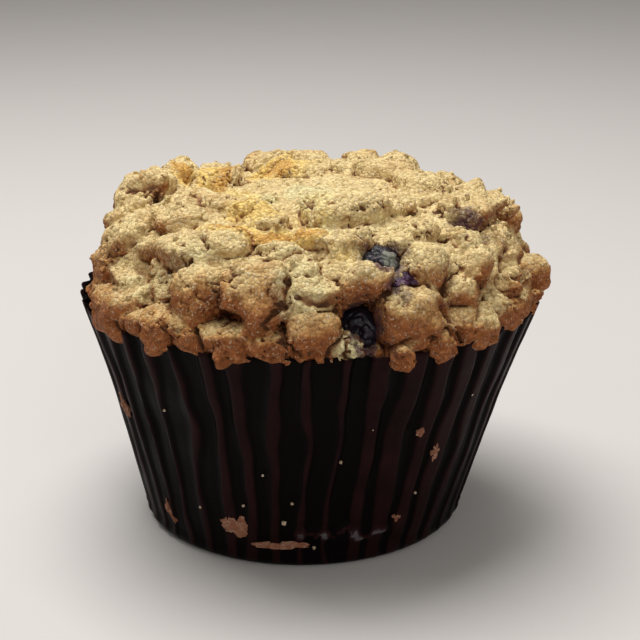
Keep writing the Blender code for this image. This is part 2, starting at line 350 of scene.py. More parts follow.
class Finish(Graph):
    """A material that is being built around one Principled shader."""

    def __init__(self, name: str, **constants: Any) -> None:
        """Starts a material.

        Args:
            name: The material's name.
            constants: Values that are the same all over the surface, with _ for each space in a socket's name.
        """
        self.material = bpy.data.materials.new(name)
        self.material.use_nodes = True
        super().__init__(self.material.node_tree)
        inputs = {key.replace("_", " "): value for key, value in constants.items()}
        self.shader = self.node("ShaderNodeBsdfPrincipled", {}, inputs)
        self.node("ShaderNodeOutputMaterial", {}, {"Surface": self.shader.out("BSDF")})

    def set(self, name: str, value: Value) -> None:
        """Feeds one of the shader's sockets."""
        self._put(self.shader.node.inputs[name], value)

    def place(self) -> Wire:
        """The place on the piece, in metres."""
        return self.node("ShaderNodeTexCoord", {}, {}).out("Object")

    def attribute(self, name: str) -> Wire:
        """A number stored on the mesh under a name."""
        return self.node("ShaderNodeAttribute", {"attribute_name": name}, {}).out("Fac")

    def facing_up(self) -> Wire:
        """1 where the surface faces up, 0 on a wall and -1 on an underside."""
        return self.upward(self.node("ShaderNodeNewGeometry", {}, {}).out("Normal"))

    def bump(self, relief: Wire, depth: float) -> None:
        """Raises the surface's fine relief by a depth in metres where the relief is 1."""
        inputs = {"Strength": 1.0, "Distance": depth, "Height": relief}
        self.set("Normal", self.node("ShaderNodeBump", {}, inputs).out("Normal"))


# ---- Mesh helpers ----


def add_object(name: str, mesh: bpy.types.Mesh) -> bpy.types.Object:
    """Links a mesh to the scene as an object of that name."""
    obj = bpy.data.objects.new(name, mesh)
    bpy.context.scene.collection.objects.link(obj)
    return obj


def bake_modifiers(obj: bpy.types.Object) -> None:
    """Replaces an object's mesh with what its modifiers make of it, and removes them.

    Args:
        obj: The object.
    """
    bpy.context.view_layer.update()
    evaluated = obj.evaluated_get(bpy.context.evaluated_depsgraph_get())
    mesh = bpy.data.meshes.new_from_object(evaluated)
    obj.modifiers.clear()
    obj.data = mesh


def vertex_places(mesh: bpy.types.Mesh) -> np.ndarray:
    """The places of a mesh's vertices, as rows of x, y and z."""
    flat = np.empty(len(mesh.vertices) * 3, np.float32)
    mesh.vertices.foreach_get("co", flat)
    return flat.reshape(-1, 3)


def store_numbers(mesh: bpy.types.Mesh, name: str, numbers: np.ndarray) -> None:
    """Stores a number for each vertex under a name."""
    layer = mesh.attributes.get(name) or mesh.attributes.new(name, "FLOAT", "POINT")
    layer.data.foreach_set("value", numbers.astype(np.float32))


def new_mesh(
    name: str, points: Sequence[Triple], faces: Sequence[Sequence[int]], *finishes: bpy.types.Material
) -> bpy.types.Mesh:
    """A mesh of the points and faces, with its finishes.

    Args:
        name: The mesh's name.
        points: Its points.
        faces: Each face's points, by index.
        finishes: Its material slots, in order.

    Returns:
        The mesh.
    """
    mesh = bpy.data.meshes.new(name)
    mesh.from_pydata(points, [], faces)
    for finish in finishes:
        mesh.materials.append(finish)
    return mesh


def ring_faces(rows: int, columns: int, first: int = 0) -> list[list[int]]:
    """The faces between closed rings of points that follow one another.

    Args:
        rows: How many rings there are.
        columns: How many points a ring has.
        first: The index of the first ring's first point.

    Returns:
        Each face's points, by index.
    """
    faces = []
    for row in range(rows - 1):
        here, above = first + row * columns, first + (row + 1) * columns
        for column in range(columns):
            after = (column + 1) % columns
            faces.append([here + column, here + after, above + after, above + column])
    return faces


def in_frame(points: np.ndarray, matrix: Matrix) -> np.ndarray:
    """Takes points from a thing's own axes to the frame."""
    return points @ np.array(matrix.to_3x3()).T + np.array(matrix.translation)


def hand_over(obj: bpy.types.Object, slot: str, *nodes: str) -> None:
    """Fastens a finished piece to the muffin, and lets it stand for CAD nodes.

    Args:
        obj: The finished piece.
        slot: The record's material slot for the piece; not used.
        nodes: The CAD nodes that it stands for.
    """
    obj.data.shade_smooth()
    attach(obj, BODY)
    if nodes:
        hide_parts(*nodes)
    obj.data.calc_loop_triangles()
    log.info("%s: %d triangles", obj.name, len(obj.data.loop_triangles))


# ---- Forms that the pieces share ----


def stand_at(bearing: float, middle: tuple[float, Vector], climb: tuple[float, float], out: float) -> Matrix:
    """The matrix that stands a thing on the muffin: X to its side, Y up the surface and Z outwards.

    Args:
        bearing: Degrees from the front towards +X.
        middle: How far the surface is from the muffin's axis, and the axis's point at that height.
        climb: How far the surface goes outwards and upwards for one step along it.
        out: Metres proud of the surface.

    Returns:
        The matrix from the thing's own axes to the frame.
    """
    turn = math.radians(bearing)
    outwards = Vector((math.sin(turn), -math.cos(turn), 0.0))
    along = Vector((math.cos(turn), math.sin(turn), 0.0))
    upwards = outwards * climb[0] + Vector((0.0, 0.0, climb[1]))
    normal = along.cross(upwards)
    place = outwards * middle[0] + middle[1] + normal * out
    return Matrix.Translation(place) @ Matrix((along, upwards, normal)).transposed().to_4x4()


@dataclass(frozen=True)
class CupForm:
    """The paper cup's outline, without its flutes."""

    rim_radius: float
    height: float
    lean: float
    base_radius: float
    corner_radius: float = 3.0 * MM

    @classmethod
    def from_frame(cls) -> "CupForm":
        """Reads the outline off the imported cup, whose base is 62 mm wide for each 87 mm of its rim.

        Returns:
            The outline, in metres.
        """
        base_width, rim_width = 62.0, 87.0
        low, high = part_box("paper_cup")
        rim = (high.y - low.y) / 2
        return cls(rim, high.z, (low.x + high.x) / 2, rim * base_width / rim_width)

    def crest(self, height: float) -> float:
        """The wall's radius over its flutes at a height."""
        return self.base_radius + (self.rim_radius - self.base_radius) * height / self.height

    @property
    def slope(self) -> float:
        """The wall's angle from upright, in radians."""
        return math.atan2(self.rim_radius - self.base_radius, self.height)

    def lean_at(self, height: float) -> float:
        """How far towards +X the middle of the muffin is at a height."""
        return self.lean * height / self.height

    def axis(self, height: float) -> Vector:
        """The point of the muffin's axis at a height."""
        return Vector((self.lean_at(height), 0.0, height))

    def stand(self, bearing: float, height: float, out: float) -> Matrix:
        """The stand on the wall at a bearing and a height, some metres proud of the flutes' crests."""
        climb = (math.sin(self.slope), math.cos(self.slope))
        return stand_at(bearing, (self.crest(height), self.axis(height)), climb, out)


@dataclass(frozen=True)
class CrustForm:
    """The dome under the streusel: a superellipse turned about the muffin's axis, and leaned with the cup."""

    cup: CupForm
    plane: float = 41.0 * MM
    radius: float = 42.0 * MM
    rise: float = 25.0 * MM
    squareness: float = 3.4

    def outline(self, lift: float) -> tuple[float, float]:
        """The dome's radius and height at a lift in degrees.

        Args:
            lift: Degrees above the dome's centre plane.

        Returns:
            The radius about the axis, and the height above the cup's underside.
        """
        angle = math.radians(lift)
        across = abs(math.cos(angle)) / self.radius
        up = abs(math.sin(angle)) / self.rise
        reach = (across**self.squareness + up**self.squareness) ** (-1 / self.squareness)
        return reach * math.cos(angle), self.plane + reach * math.sin(angle)

    def stand(self, bearing: float, lift: float, out: float = 0.0) -> Matrix:
        """The matrix that stands a thing on the dome: X to its side, Y up the slope and Z outwards.

        Args:
            bearing: Degrees from the front towards +X.
            lift: Degrees above the dome's centre plane.
            out: Metres proud of the dome.

        Returns:
            The matrix from the thing's own axes to the frame.
        """
        radius, height = self.outline(lift)
        ahead, behind = self.outline(lift + 2.0), self.outline(lift - 2.0)
        climb = Vector((ahead[0] - behind[0], ahead[1] - behind[1])).normalized()
        return stand_at(bearing, (radius, self.cup.axis(height)), (climb.x, climb.y), out)


class Kind(Enum):
    """The sorts of streusel lump: squareness of its form, coarse and fine roughness, and share of nuggets on it."""

    ROUND = (2.4, 0.12, 0.032, 0.06)
    ROUGH = (2.6, 0.18, 0.050, 0.24)
    SLAB = (3.2, 0.08, 0.024, 0.02)
    CLUSTER = (2.0, 0.30, 0.12, 0.80)

    def __init__(self, squareness: float, coarse: float, fine: float, nuggets: float) -> None:
        """Names the four numbers of a sort.

        Args:
            squareness: The power of its superellipsoid, where 2 is an ellipsoid.
            coarse: How far its large knobbles stray, as a share of its radius.
            fine: How far its small ones do.
            nuggets: The share of nuggets that grows on it.
        """
        self.squareness = squareness
        self.coarse = coarse
        self.fine = fine
        self.nuggets = nuggets


@dataclass(frozen=True)
class Lump:
    """One lump of streusel.

    Its place is in degrees and its size in millimetres. Toast goes from 0, a pale crumb, to 1, a well baked one, and
    turn is in degrees about the way that it faces. Sunk is the share of its thickness that its middle lies under the
    dome.
    """

    bearing: float
    lift: float
    width: float
    height: float
    thickness: float
    kind: Kind = Kind.ROUGH
    toast: float = 0.5
    turn: float = 0.0
    sunk: float = 0.18

    @property
    def half(self) -> np.ndarray:
        """Half its width, height and thickness, in metres."""
        return np.array([self.width, self.height, self.thickness]) * MM / 2


FRONT_LUMPS = (
    # The lowest row, which hangs over the paper's rim, from left to right
    Lump(-78, 10, 9, 7.5, 6.0, toast=0.5, sunk=0.48),
    Lump(-57, 8.5, 11.5, 9.5, 8.5, Kind.SLAB, 1.0, sunk=0.10),
    Lump(-38, 9, 8.2, 8.6, 9.5, toast=0.9, sunk=0.08),
    Lump(-28, 8.5, 6.0, 5.2, 8.0, toast=0.9, sunk=0.10),
    Lump(-17.5, 9.8, 7.8, 8.0, 9.0, toast=0.85, sunk=0.06),
    Lump(-19.5, 5.8, 2.8, 3.8, 5.0, toast=0.8, sunk=-0.45),
    Lump(-8.5, 8.4, 9.0, 5.6, 9.0, toast=0.85, sunk=0.11),
    Lump(0.8, 11.0, 10.6, 9.8, 9.0, Kind.ROUND, 0.6, sunk=0.14),
    Lump(8.7, 8.4, 5.2, 4.2, 5.6, Kind.CLUSTER, 0.0, sunk=0.0),
    Lump(20.6, 5.6, 3.8, 4.8, 5.2, Kind.CLUSTER, 0.7, sunk=-0.46),
    Lump(24, 13.6, 12.4, 11.6, 9.0, Kind.ROUND, 0.5, sunk=0.14),
    Lump(31, 6.8, 7.2, 6.6, 8.0, Kind.CLUSTER, 0.65, sunk=0.02),
    Lump(44.0, 8.4, 8.8, 7.4, 9.0, toast=0.2, sunk=0.08),
    Lump(58.0, 8.2, 6.4, 6.4, 9.0, Kind.ROUND, 1.1, sunk=0.10),
    Lump(69, 7, 6, 7, 8.5, Kind.CLUSTER, 0.6, sunk=0.16),
    Lump(83, 8, 7, 7, 6.5, toast=0.6, sunk=0.18),
    # The second row
    Lump(-74, 18, 9, 9, 6, toast=0.6),
    Lump(-30.5, 18, 9.4, 11.5, 9, Kind.ROUND, 0.65),
    Lump(-14.7, 19.7, 12.6, 14.0, 10.0, Kind.ROUND, 0.95, sunk=0.14),
    Lump(-1, 19.7, 9, 8, 6.5, toast=0.2),
    Lump(13.4, 23.5, 10.0, 7.0, 8.5, Kind.ROUND, 0.45, 30, sunk=0.12),
    Lump(40.2, 17.5, 6.6, 6.2, 7, Kind.ROUND, 0.55),
    Lump(39.5, 11.5, 6.8, 5.8, 7.5, Kind.ROUND, 0.6),
    Lump(52, 11, 6, 6, 5.5, toast=0.2),
    Lump(60, 15, 6.5, 6.5, 6.5, Kind.CLUSTER, 0.5),
    Lump(68, 13, 5.5, 6, 6.5, Kind.CLUSTER, 0.5),
    Lump(78.5, 12.5, 8, 7.5, 10.0, Kind.ROUND, 0.65, sunk=0.08),
    # The upper front face
    Lump(-59, 17, 7, 3.5, 4.5, Kind.CLUSTER, 0.2),
    Lump(-50, 22, 4, 3.5, 4, Kind.CLUSTER, 0.1),
    Lump(-70, 27, 9, 10, 6, toast=0.5),
    Lump(-41, 29, 11.5, 8, 5.5, toast=0.3),
    Lump(-30, 34, 10.5, 7, 5, toast=0.25),
    Lump(-56, 37, 9.5, 8, 5.5, toast=0.4),
    Lump(-12, 30, 9.5, 6.5, 4.5, toast=0.15),
    Lump(-3, 27, 6, 6, 4, toast=0.1),
    Lump(7.5, 35.5, 5.6, 4.8, 4.8, toast=0.4),
    Lump(14.5, 36, 5.6, 4.8, 4.8, toast=0.4),
    Lump(-1, 37, 7, 4.5, 4.0, toast=0.4),
    Lump(32.5, 26, 9, 9, 7.5, Kind.ROUND, 0.3),
    Lump(28, 33, 5, 4, 4, toast=0.2),
    Lump(49, 22.5, 7, 6, 5.5, toast=0.35),
    Lump(65.5, 24.5, 7, 9.5, 6, toast=0.6),
    Lump(52, 30, 6.5, 5.5, 4.5, toast=0.3),
    Lump(37, 36, 8.0, 5.0, 4.5, toast=0.3),
    # The top
    Lump(17, 53, 15.5, 12.0, 8.0, Kind.SLAB, 0.15, sunk=0.09),
    Lump(81, 30.5, 2.2, 2.0, 5.0, toast=0.2, sunk=-0.30),
    Lump(83, 27.5, 2.4, 2.0, 4.6, toast=0.3, sunk=-0.28),
    Lump(-42, 50, 16, 6, 4.6, Kind.ROUND, 0.6, 10),
    Lump(-20, 44, 8, 5, 4, toast=0.5),
    Lump(-66, 44, 9, 8, 5, toast=0.6),
    Lump(71, 36, 14, 10.5, 7, toast=0.45),
    Lump(98, 48.5, 12.5, 11, 6.0, Kind.SLAB, 0.25),
    Lump(45, 50, 9, 6, 4, toast=0.2),
    Lump(-118, 34, 15, 14, 11.5, toast=0.3, sunk=0.20),
    Lump(-139, 39, 13, 11, 11, toast=0.3, sunk=0.26),
    Lump(-97, 32, 14, 13, 12, toast=0.3, sunk=0.10),
    Lump(-85, 28, 9, 10, 7, toast=0.45),
    Lump(-105, 53, 12, 7, 4, Kind.ROUND, 0.5),
    Lump(-165, 60, 11, 11, 6.5, Kind.ROUND, 0.4, sunk=0.34),
    Lump(131, 55, 15, 9, 6, toast=0.4),
    Lump(170, 56, 11, 8, 5.5, toast=0.3, sunk=0.28),
)


@dataclass(frozen=True)
class Zone:
    """A patch of the crust: its middle in degrees, its radii in millimetres across and up, and its strength."""

    bearing: float
    lift: float
    across: float
    up: float
    strength: float = 1.0


# Where the yellow batter rose through the streusel
BATTER_ZONES = (
    Zone(-108, 42, 4, 3.5, 0.9),
    Zone(-98, 51, 7, 3.0),
    Zone(-148, 59, 8, 6, 0.8),
    Zone(-70, 58, 5, 4, 0.6),
    Zone(-27, 46, 6, 3.5, 0.85),
    Zone(-30, 38, 7, 2.4, 0.9),
    Zone(-10, 37, 7, 2.4, 0.9),
    Zone(-3, 47, 5, 6, 0.45),
    Zone(7, 31, 4, 3, 0.4),
)
# Where its ridges turned brown
GOLDEN_ZONES = (
    Zone(-110, 41, 2.4, 2.2, 0.9),
    Zone(-98, 54, 7, 1.6, 0.8),
    Zone(-150, 60, 3.5, 3.0, 1.0),
    Zone(-31, 38, 5.5, 1.5, 1.0),
    Zone(-10, 37, 6.5, 1.6, 1.0),
    Zone(-14, 48, 4, 1.2, 0.5),
)
# Where it stayed pale and a little green
RAW_ZONES = (
    Zone(-52, 60, 5, 3.5, 1.0),
    Zone(-15, 74, 5, 6, 0.7),
    Zone(0, 52, 3.5, 6, 0.7),
    Zone(3, 40, 3.5, 4, 0.6),
    Zone(26, 40, 5, 3, 0.5),
    Zone(-3, 24, 6, 7, 0.55),
    Zone(-35, 26, 6, 4, 0.5),
    Zone(-52, 16, 4, 3, 0.5),
    Zone(8.4, 8.6, 2.8, 2.4, 1.0),
)
# Where a berry's juice coloured the crumb
STAIN_ZONES = (
    Zone(20, 28, 4.6, 5.2, 0.95),
    Zone(21, 20.5, 2.6, 2.8, 0.9),
    Zone(12.6, 12, 3.4, 5.8, 1.0),
    Zone(6, 6.5, 2.6, 1.6, 0.45),
    Zone(17, 8, 2.6, 3.6, 0.6),
    Zone(11, 25, 2.6, 1.6, 0.55),
    Zone(59, 33, 3.4, 4.6, 0.85),
    Zone(45, 29, 5.0, 2.0, 0.45),
    Zone(34, 17, 2.0, 1.8, 0.6),
    Zone(70, 25, 3.0, 6.0, 0.40),
    Zone(-62, 20, 5.0, 4.0, 0.30),
)
# Hollows between the lumps: their middles, radii and depths
HOLLOWS = (
    (Zone(12.2, 12.6, 3.0, 5.4), 10.0 * MM),
    (Zone(19.5, 29.5, 2.9, 2.7), 4.2 * MM),
    (Zone(-20.5, 14.0, 3.6, 1.9), 5.0 * MM),
    (Zone(-54.0, 21.0, 4.4, 3.4), 3.5 * MM),
    (Zone(-47.0, 15.0, 1.8, 2.2), 2.0 * MM),
    (Zone(59.0, 33.0, 1.5, 3.6), 7.0 * MM),
    (Zone(-52.0, 60.0, 5.0, 3.0), 2.2 * MM),
    (Zone(-3.5, 47.0, 1.8, 5.5), 1.0 * MM),
    (Zone(-16.0, 31.0, 3.0, 1.4), 1.6 * MM),
    (Zone(26.0, 21.0, 1.4, 2.2), 2.0 * MM),
)
# Wide dips that flatten the crown's outline
DIPS = (
    (Zone(-137.0, 44.0, 9.0, 7.0), 4.0 * MM),
    (Zone(-100.0, 40.0, 5.0, 3.0), 1.2 * MM),
    (Zone(122.0, 35.0, 7.0, 6.0), 2.0 * MM),
    (Zone(158.0, 46.0, 9.0, 6.0), 1.6 * MM),
    (Zone(-92.0, 15.0, 9.0, 6.5), 4.6 * MM),
    (Zone(88.0, 24.0, 6.0, 4.5), 1.4 * MM),
    (Zone(104.0, 40.0, 6.0, 4.0), 2.2 * MM),
)


@dataclass(frozen=True)
class Crack:
    """A crevice between lumps: the bearings and lifts that it runs through, and its width and depth in millimetres."""

    path: tuple[tuple[float, float], ...]
    width: float = 1.4
    depth: float = 1.5


CRACKS = (
    # Round the smooth slab on the crown
    Crack(((-5, 53), (-1, 47), (2, 41)), 1.1, 1.1),
    Crack(((1, 42), (8, 39), (16, 37.5), (25, 40)), 1.4, 1.6),
    Crack(((60, 72), (66, 58), (59, 48)), 1.3, 1.4),
    # The right of the crown
    Crack(((60, 47), (70, 44), (79, 42), (90, 37)), 1.5, 1.8),
    Crack(((54, 33), (58, 31), (61, 33), (66, 38)), 2.2, 3.6),
    Crack(((40, 34), (46, 32), (52, 32)), 1.4, 1.6),
    Crack(((64, 25), (59, 19), (60, 15), (67, 12)), 1.4, 1.6),
    # Between the large lumps in front, from right to left
    Crack(((47, 20), (46, 14), (48, 9), (52, 5)), 1.4, 1.8),
    Crack(((29, 21), (31, 16), (34, 12), (37, 7)), 1.3, 1.8),
    Crack(((38, 25), (36, 22), (35, 18)), 1.2, 1.5),
    Crack(((14, 20), (15.5, 16), (16, 11), (19, 6)), 1.6, 2.0),
    Crack(((-4, 20), (1, 18), (7, 19)), 1.1, 1.0),
    Crack(((-6, 24), (-7, 18), (-11, 14)), 1.2, 1.4),
    Crack(((-14, 12.5), (-7, 13.5), (-6, 11), (-5, 7)), 1.2, 1.4),
    Crack(((-24, 24), (-22, 18), (-22, 13)), 1.3, 2.0),
    Crack(((-38, 19), (-36, 13), (-33, 9)), 1.4, 1.6),
    Crack(((-47, 16), (-43, 11), (-41, 6)), 1.6, 1.8),
    # The left face
    Crack(((-83, 17), (-68, 21), (-58, 24), (-48, 25)), 1.5, 1.6),
    Crack(((-88, 31), (-87, 38), (-84, 44)), 1.1, 1.0),
    Crack(((-54, 31), (-43, 34), (-34, 34)), 1.3, 1.2),
    Crack(((-24, 26), (-17, 29), (-10, 28), (-4, 31)), 1.2, 1.1),
    Crack(((-72, 42), (-60, 44), (-52, 42)), 1.3, 1.2),
)


# ---- Finishes ----


@dataclass(frozen=True)
class StreuselFinish:
    """Baked streusel and the batter that rose through it."""

    pale: Colour = (0.68, 0.53, 0.26)
    baked: Colour = (0.48, 0.255, 0.084)
    # A deep brown: real toast, and also painted shade on the undersides and in the crevices
    toast_and_shade_brown: Colour = (0.27, 0.080, 0.022)
    batter: Colour = (0.75, 0.53, 0.16)
    golden: Colour = (0.58, 0.32, 0.078)
    raw: Colour = (0.70, 0.66, 0.37)
    # Near black: painted shade at the bottoms of crevices and in tiny pits
    pit: Colour = (0.060, 0.026, 0.010)
    # Pale sugar grains, and painted glints
    sugar: Colour = (0.88, 0.80, 0.58)
    juice: Colour = (0.075, 0.035, 0.062)
    dark_grain: Colour = (0.72, 0.63, 0.52)
    light_grain: Colour = (1.32, 1.33, 1.32)
    shaded: Colour = (0.50, 0.34, 0.24)
    blotch_size: float = 8.0 * MM
    patch_size: float = 2.4 * MM
    grain: float = 0.50 * MM
    pit_size: float = 0.62 * MM
    sand_size: float = 0.22 * MM
    brown_below: float = 41.0 * MM
    pale_above: float = 62.0 * MM
    relief: float = 0.42 * MM

    def material(self) -> bpy.types.Material:
        """Builds the material, which reads the numbers stored on the crust where the mesh has them.

        Returns:
            The material.
        """
        look = Finish("baked_streusel", Metallic=0.0, IOR=1.45, Specular_IOR_Level=0.3)
        where = look.place()
        blotch = look.speckle(where, self.blotch_size, 3.0)
        patch = look.speckle(where, self.patch_size, 3.0, 0.6)
        fine = look.speckle(where, self.grain, 3.0, 0.7)
        grains = look.cells(where, self.grain * 1.2)
        tint = look.node("ShaderNodeSeparateColor", {}, {"Color": grains.out("Color")})
        peak, ridge = look.attribute("peak"), look.attribute("ridge")
        toast, crevice = look.attribute("toast"), look.attribute("crevice")
        up = look.facing_up()
        low = look.upward(where).ramp(self.brown_below, self.pale_above, 1.0, 0.0)
        under = look.attribute("underside")
        # The baked share also paints shade: darker where the crust faces down, and darker towards the bottom
        baked = toast * 0.75 + (blotch - 0.5) * 1.3 + (patch - 0.5) * 1.0 + ridge * 0.25 + under * 0.70 + low * 0.30
        colour = look.mix((baked - 0.32).ramp(0.0, 1.0), self.pale, self.baked)
        # Partly toast and partly painted shade: browner where the crust faces down and towards the bottom, paler where
        # it faces up
        toast_and_facing_shade = toast * 0.5 + peak * 0.15 + (patch - 0.5) * 1.1 - up * 0.55 + under * 0.80 + low * 0.50
        colour = look.mix(toast_and_facing_shade.ramp(0.35, 1.40, 0.0, 0.90), colour, self.toast_and_shade_brown)
        raw = look.attribute("raw") + (patch - 0.5) * 1.0 + (blotch - 0.5) * 0.6
        colour = look.mix(raw.ramp(0.25, 0.9, 0.0, 0.75), colour, self.raw)
        batter = look.attribute("batter") + (blotch - 0.5) * 0.7 + (patch - 0.5) * 0.9
        colour = look.mix(batter.ramp(0.25, 0.8, 0.0, 0.85), colour, self.batter)
        golden = look.attribute("golden") + ridge * 0.25 + (patch - 0.5) * 1.4
        colour = look.mix(golden.ramp(0.35, 0.95, 0.0, 0.9), colour, self.golden)
        soaked = look.attribute("stain") + (patch - 0.5) * 1.5 + (fine - 0.5) * 0.5 - peak * 0.12
        colour = look.mix(soaked.ramp(0.40, 1.0, 0.0, 0.85), colour, self.juice)
        shade = look.mix(tint.out("Red"), self.dark_grain, self.light_grain)
        colour = look.mix(1.0, colour, shade, "MULTIPLY")
        # Pale specks: partly sugar grains, partly painted glints, fewer towards the bottom
        glint = (fine + tint.out("Green") * 0.16).ramp(0.66, 0.80)
        colour = look.mix(glint * (0.65 - low * 0.38), colour, self.sugar)
        cavity = (ridge * -1.0).ramp(0.10, 1.1, 0.0, 0.9)
        colour = look.mix(cavity, colour, look.mix(1.0, colour, self.shaded, "MULTIPLY"))
        # Painted shade in the crevices and splits between lumps: browner, then near black where deepest
        sunken = crevice * 0.70 + look.attribute("split") * 0.75 - peak * 0.35 + (patch - 0.5) * 0.6
        colour = look.mix(sunken.ramp(0.15, 0.80, 0.0, 0.80), colour, self.toast_and_shade_brown)
        colour = look.mix(sunken.ramp(0.55, 1.1, 0.0, 0.80), colour, self.pit)
        # Tiny dark specks: painted shadow in small pits, which the bump also sinks
        specks = look.speckle(where, self.pit_size, 2.0, 0.6) + (patch - 0.5) * 0.35 + peak * 0.03
        pits = specks.ramp(0.26, 0.33, 0.65, 0.0)
        colour = look.mix(pits, colour, self.pit)
        look.set("Base Color", colour)
        look.set("Roughness", fine.ramp(0.35, 0.7, 0.9, 0.5))
        rounded = grains.out("Distance") ** 2.0 * -0.9
        relief = fine * 0.6 + rounded + look.speckle(where, self.sand_size, 2.0) * 0.4 - pits * 0.5
        look.bump(relief, self.relief)
        return look.material


@dataclass(frozen=True)
class SugarFinish:
    """Coarse sugar that stayed whole on the crust."""

    colour: Colour = (0.80, 0.68, 0.45)
    amber: Colour = (0.66, 0.44, 0.20)

    def material(self) -> bpy.types.Material:
        """Builds the material.

        Returns:
            The material.
        """
        look = Finish("sugar_crystal", Metallic=0.0, IOR=1.5, Transmission_Weight=0.35)
        tint = look.speckle(look.place(), 1.4 * MM, 1.0).ramp(0.35, 0.65)
        look.set("Base Color", look.mix(tint, self.colour, self.amber))
        look.set("Roughness", tint * 0.15 + 0.08)
        return look.material


@dataclass(frozen=True)
class PaperFinish:
    """Dark brown greaseproof paper, a little glossy."""

    dark: Colour = (0.0020, 0.0007, 0.0007)
    # Painted highlight on the pleats' crests
    crest_sheen: Colour = (0.0180, 0.0048, 0.0052)
    # Pale grey painted highlight on the crumpled fold at the foot
    fold_highlight: Colour = (0.110, 0.092, 0.100)

    def material(self) -> bpy.types.Material:
        """Builds the material, with painted highlights along the pleats' crests and on the crumpled fold at the foot.

        Returns:
            The material.
        """
        look = Finish("greaseproof_paper", Metallic=0.0, IOR=1.45, Specular_IOR_Level=0.05)
        where = look.place()
        cloud = look.speckle(where, 7.0 * MM, 3.0)
        fibre = look.speckle(where, 0.5 * MM, 3.0, 0.65)
        crease = look.attribute("crease")
        # Painted highlight along the pleats' crests, patchy by chance
        crest_sheen_share = (crease * 0.85 + (cloud - 0.5) * 0.7 + (fibre - 0.5) * 0.3).ramp(0.45, 1.05)
        # Painted highlight on the crumpled fold at the foot
        fold_highlight_share = (crease + (fibre - 0.5) * 0.8 + (cloud - 0.5) * 1.2).ramp(1.45, 2.3, 0.0, 0.8)
        look.set("Base Color", look.mix(fold_highlight_share, look.mix(crest_sheen_share, self.dark, self.crest_sheen), self.fold_highlight))
        look.set("Roughness", (cloud * 0.6 + fibre * 0.4).ramp(0.3, 0.7, 0.38, 0.52))
        look.bump(fibre + cloud * 0.5, 0.05 * MM)
        return look.material


@dataclass(frozen=True)
class BerryFinish:
    """A baked blueberry: dark skin under a dusty bloom that has partly cooked off."""

    skin: Colour = (0.006, 0.005, 0.009)
    bloom: Colour = (0.21, 0.21, 0.165)
    blush: Colour = (0.018, 0.006, 0.015)

    def material(self) -> bpy.types.Material:
        """Builds the material.

        Returns:
            The material.
        """
        look = Finish("blueberry_skin", Metallic=0.0, IOR=1.42)
        where = look.place()
        cloud = look.speckle(where, 1.8 * MM, 3.0, 0.6)
        fine = look.speckle(where, 0.4 * MM, 3.0, 0.6)
        dust = ((cloud - 0.5) * 2.6 + (fine - 0.5) * 1.2 + look.attribute("bloom")).ramp(0.2, 1.1)
        colour = look.mix(cloud.ramp(0.35, 0.6, 0.7, 0.0), self.skin, self.blush)
        look.set("Base Color", look.mix(dust, colour, self.bloom))
        look.set("Roughness", dust * 0.40 + 0.34)
        look.bump(fine + cloud, 0.12 * MM)
        return look.material


@dataclass(frozen=True)
class FleshFinish:
    """The wet purple flesh of a berry that burst in the oven."""

    colour: Colour = (0.036, 0.011, 0.034)
    pale: Colour = (0.125, 0.050, 0.105)

    def material(self) -> bpy.types.Material:
        """Builds the material.

        Returns:
            The material.
        """
        look = Finish("blueberry_flesh", Metallic=0.0, IOR=1.4)
        strand = look.speckle(look.place(), 1.1 * MM, 4.0, 0.65)
        look.set("Base Color", look.mix(strand.ramp(0.45, 0.68), self.colour, self.pale))
        look.set("Roughness", strand * 0.4 + 0.2)
        look.bump(strand, 0.3 * MM)
        return look.material


@dataclass(frozen=True)
class FloorFinish:
    """The plain pale floor."""

    colour: Colour = (0.62, 0.59, 0.56)

    def material(self) -> bpy.types.Material:
        """Builds the material.

        Returns:
            The material.
        """
        look = Finish("pale_floor", Metallic=0.0)
        cloud = look.speckle(look.place(), 40.0 * MM, 2.0)
        shade = tuple(0.97 * channel for channel in self.colour)
        look.set("Base Color", look.mix(cloud, self.colour, shade))
        look.set("Roughness", cloud * 0.1 + 0.75)
        return look.material


# ---- The muffin and its streusel ----


def unit_ball(subdivisions: int) -> tuple[np.ndarray, np.ndarray]:
    """The points and triangles of an icosphere of radius 1.

    Args:
        subdivisions: How round it is.

    Returns:
        Its points and its triangles, as rows.
    """
    shape = bmesh.new()
    bmesh.ops.create_icosphere(shape, subdivisions=subdivisions, radius=1.0)
    points = np.array([vertex.co for vertex in shape.verts])
    faces = np.array([[vertex.index for vertex in face.verts] for face in shape.faces])
    shape.free()
    return points, faces


def noise_at(points: np.ndarray, frequency: float, shift: Sequence[float]) -> np.ndarray:
    """Smooth noise from about -1 to 1 at each point."""
    moved = points * frequency + np.array(shift)
    return np.array([noise.noise(row) for row in moved.tolist()])


def smooth_step(numbers: np.ndarray) -> np.ndarray:
    """Eases numbers from 0 to 1, and holds them outside that."""
    held = np.clip(numbers, 0.0, 1.0)
    return held * held * (3.0 - 2.0 * held)


class MeshPile:
    """Closed shells that are gathered into one mesh, with a number stored on each of their points."""

    def __init__(self) -> None:
        """Starts empty."""
        self.points: list[np.ndarray] = []
        self.faces: list[list[int]] = []
        self.numbers: list[np.ndarray] = []
        self.total = 0

    def add(self, points: np.ndarray, faces: Iterable[Sequence[int]], numbers: Union[float, np.ndarray] = 0.0) -> None:
        """Adds a shell, with the number that each of its points takes.

        Args:
            points: The shell's points in the frame.
            faces: Each face's points, by index in the shell.
            numbers: The number that each point takes.
        """
        self.faces += [[self.total + index for index in face] for face in faces]
        self.points.append(points)
        self.numbers.append(np.broadcast_to(numbers, len(points)))
        self.total += len(points)

    def mesh(self, name: str, stored: str, *finishes: bpy.types.Material) -> bpy.types.Mesh:
        """The gathered shells as a mesh, with their numbers stored under a name."""
        made = new_mesh(name, np.concatenate(self.points).tolist(), self.faces, *finishes)
        store_numbers(made, stored, np.concatenate(self.numbers))
        return made


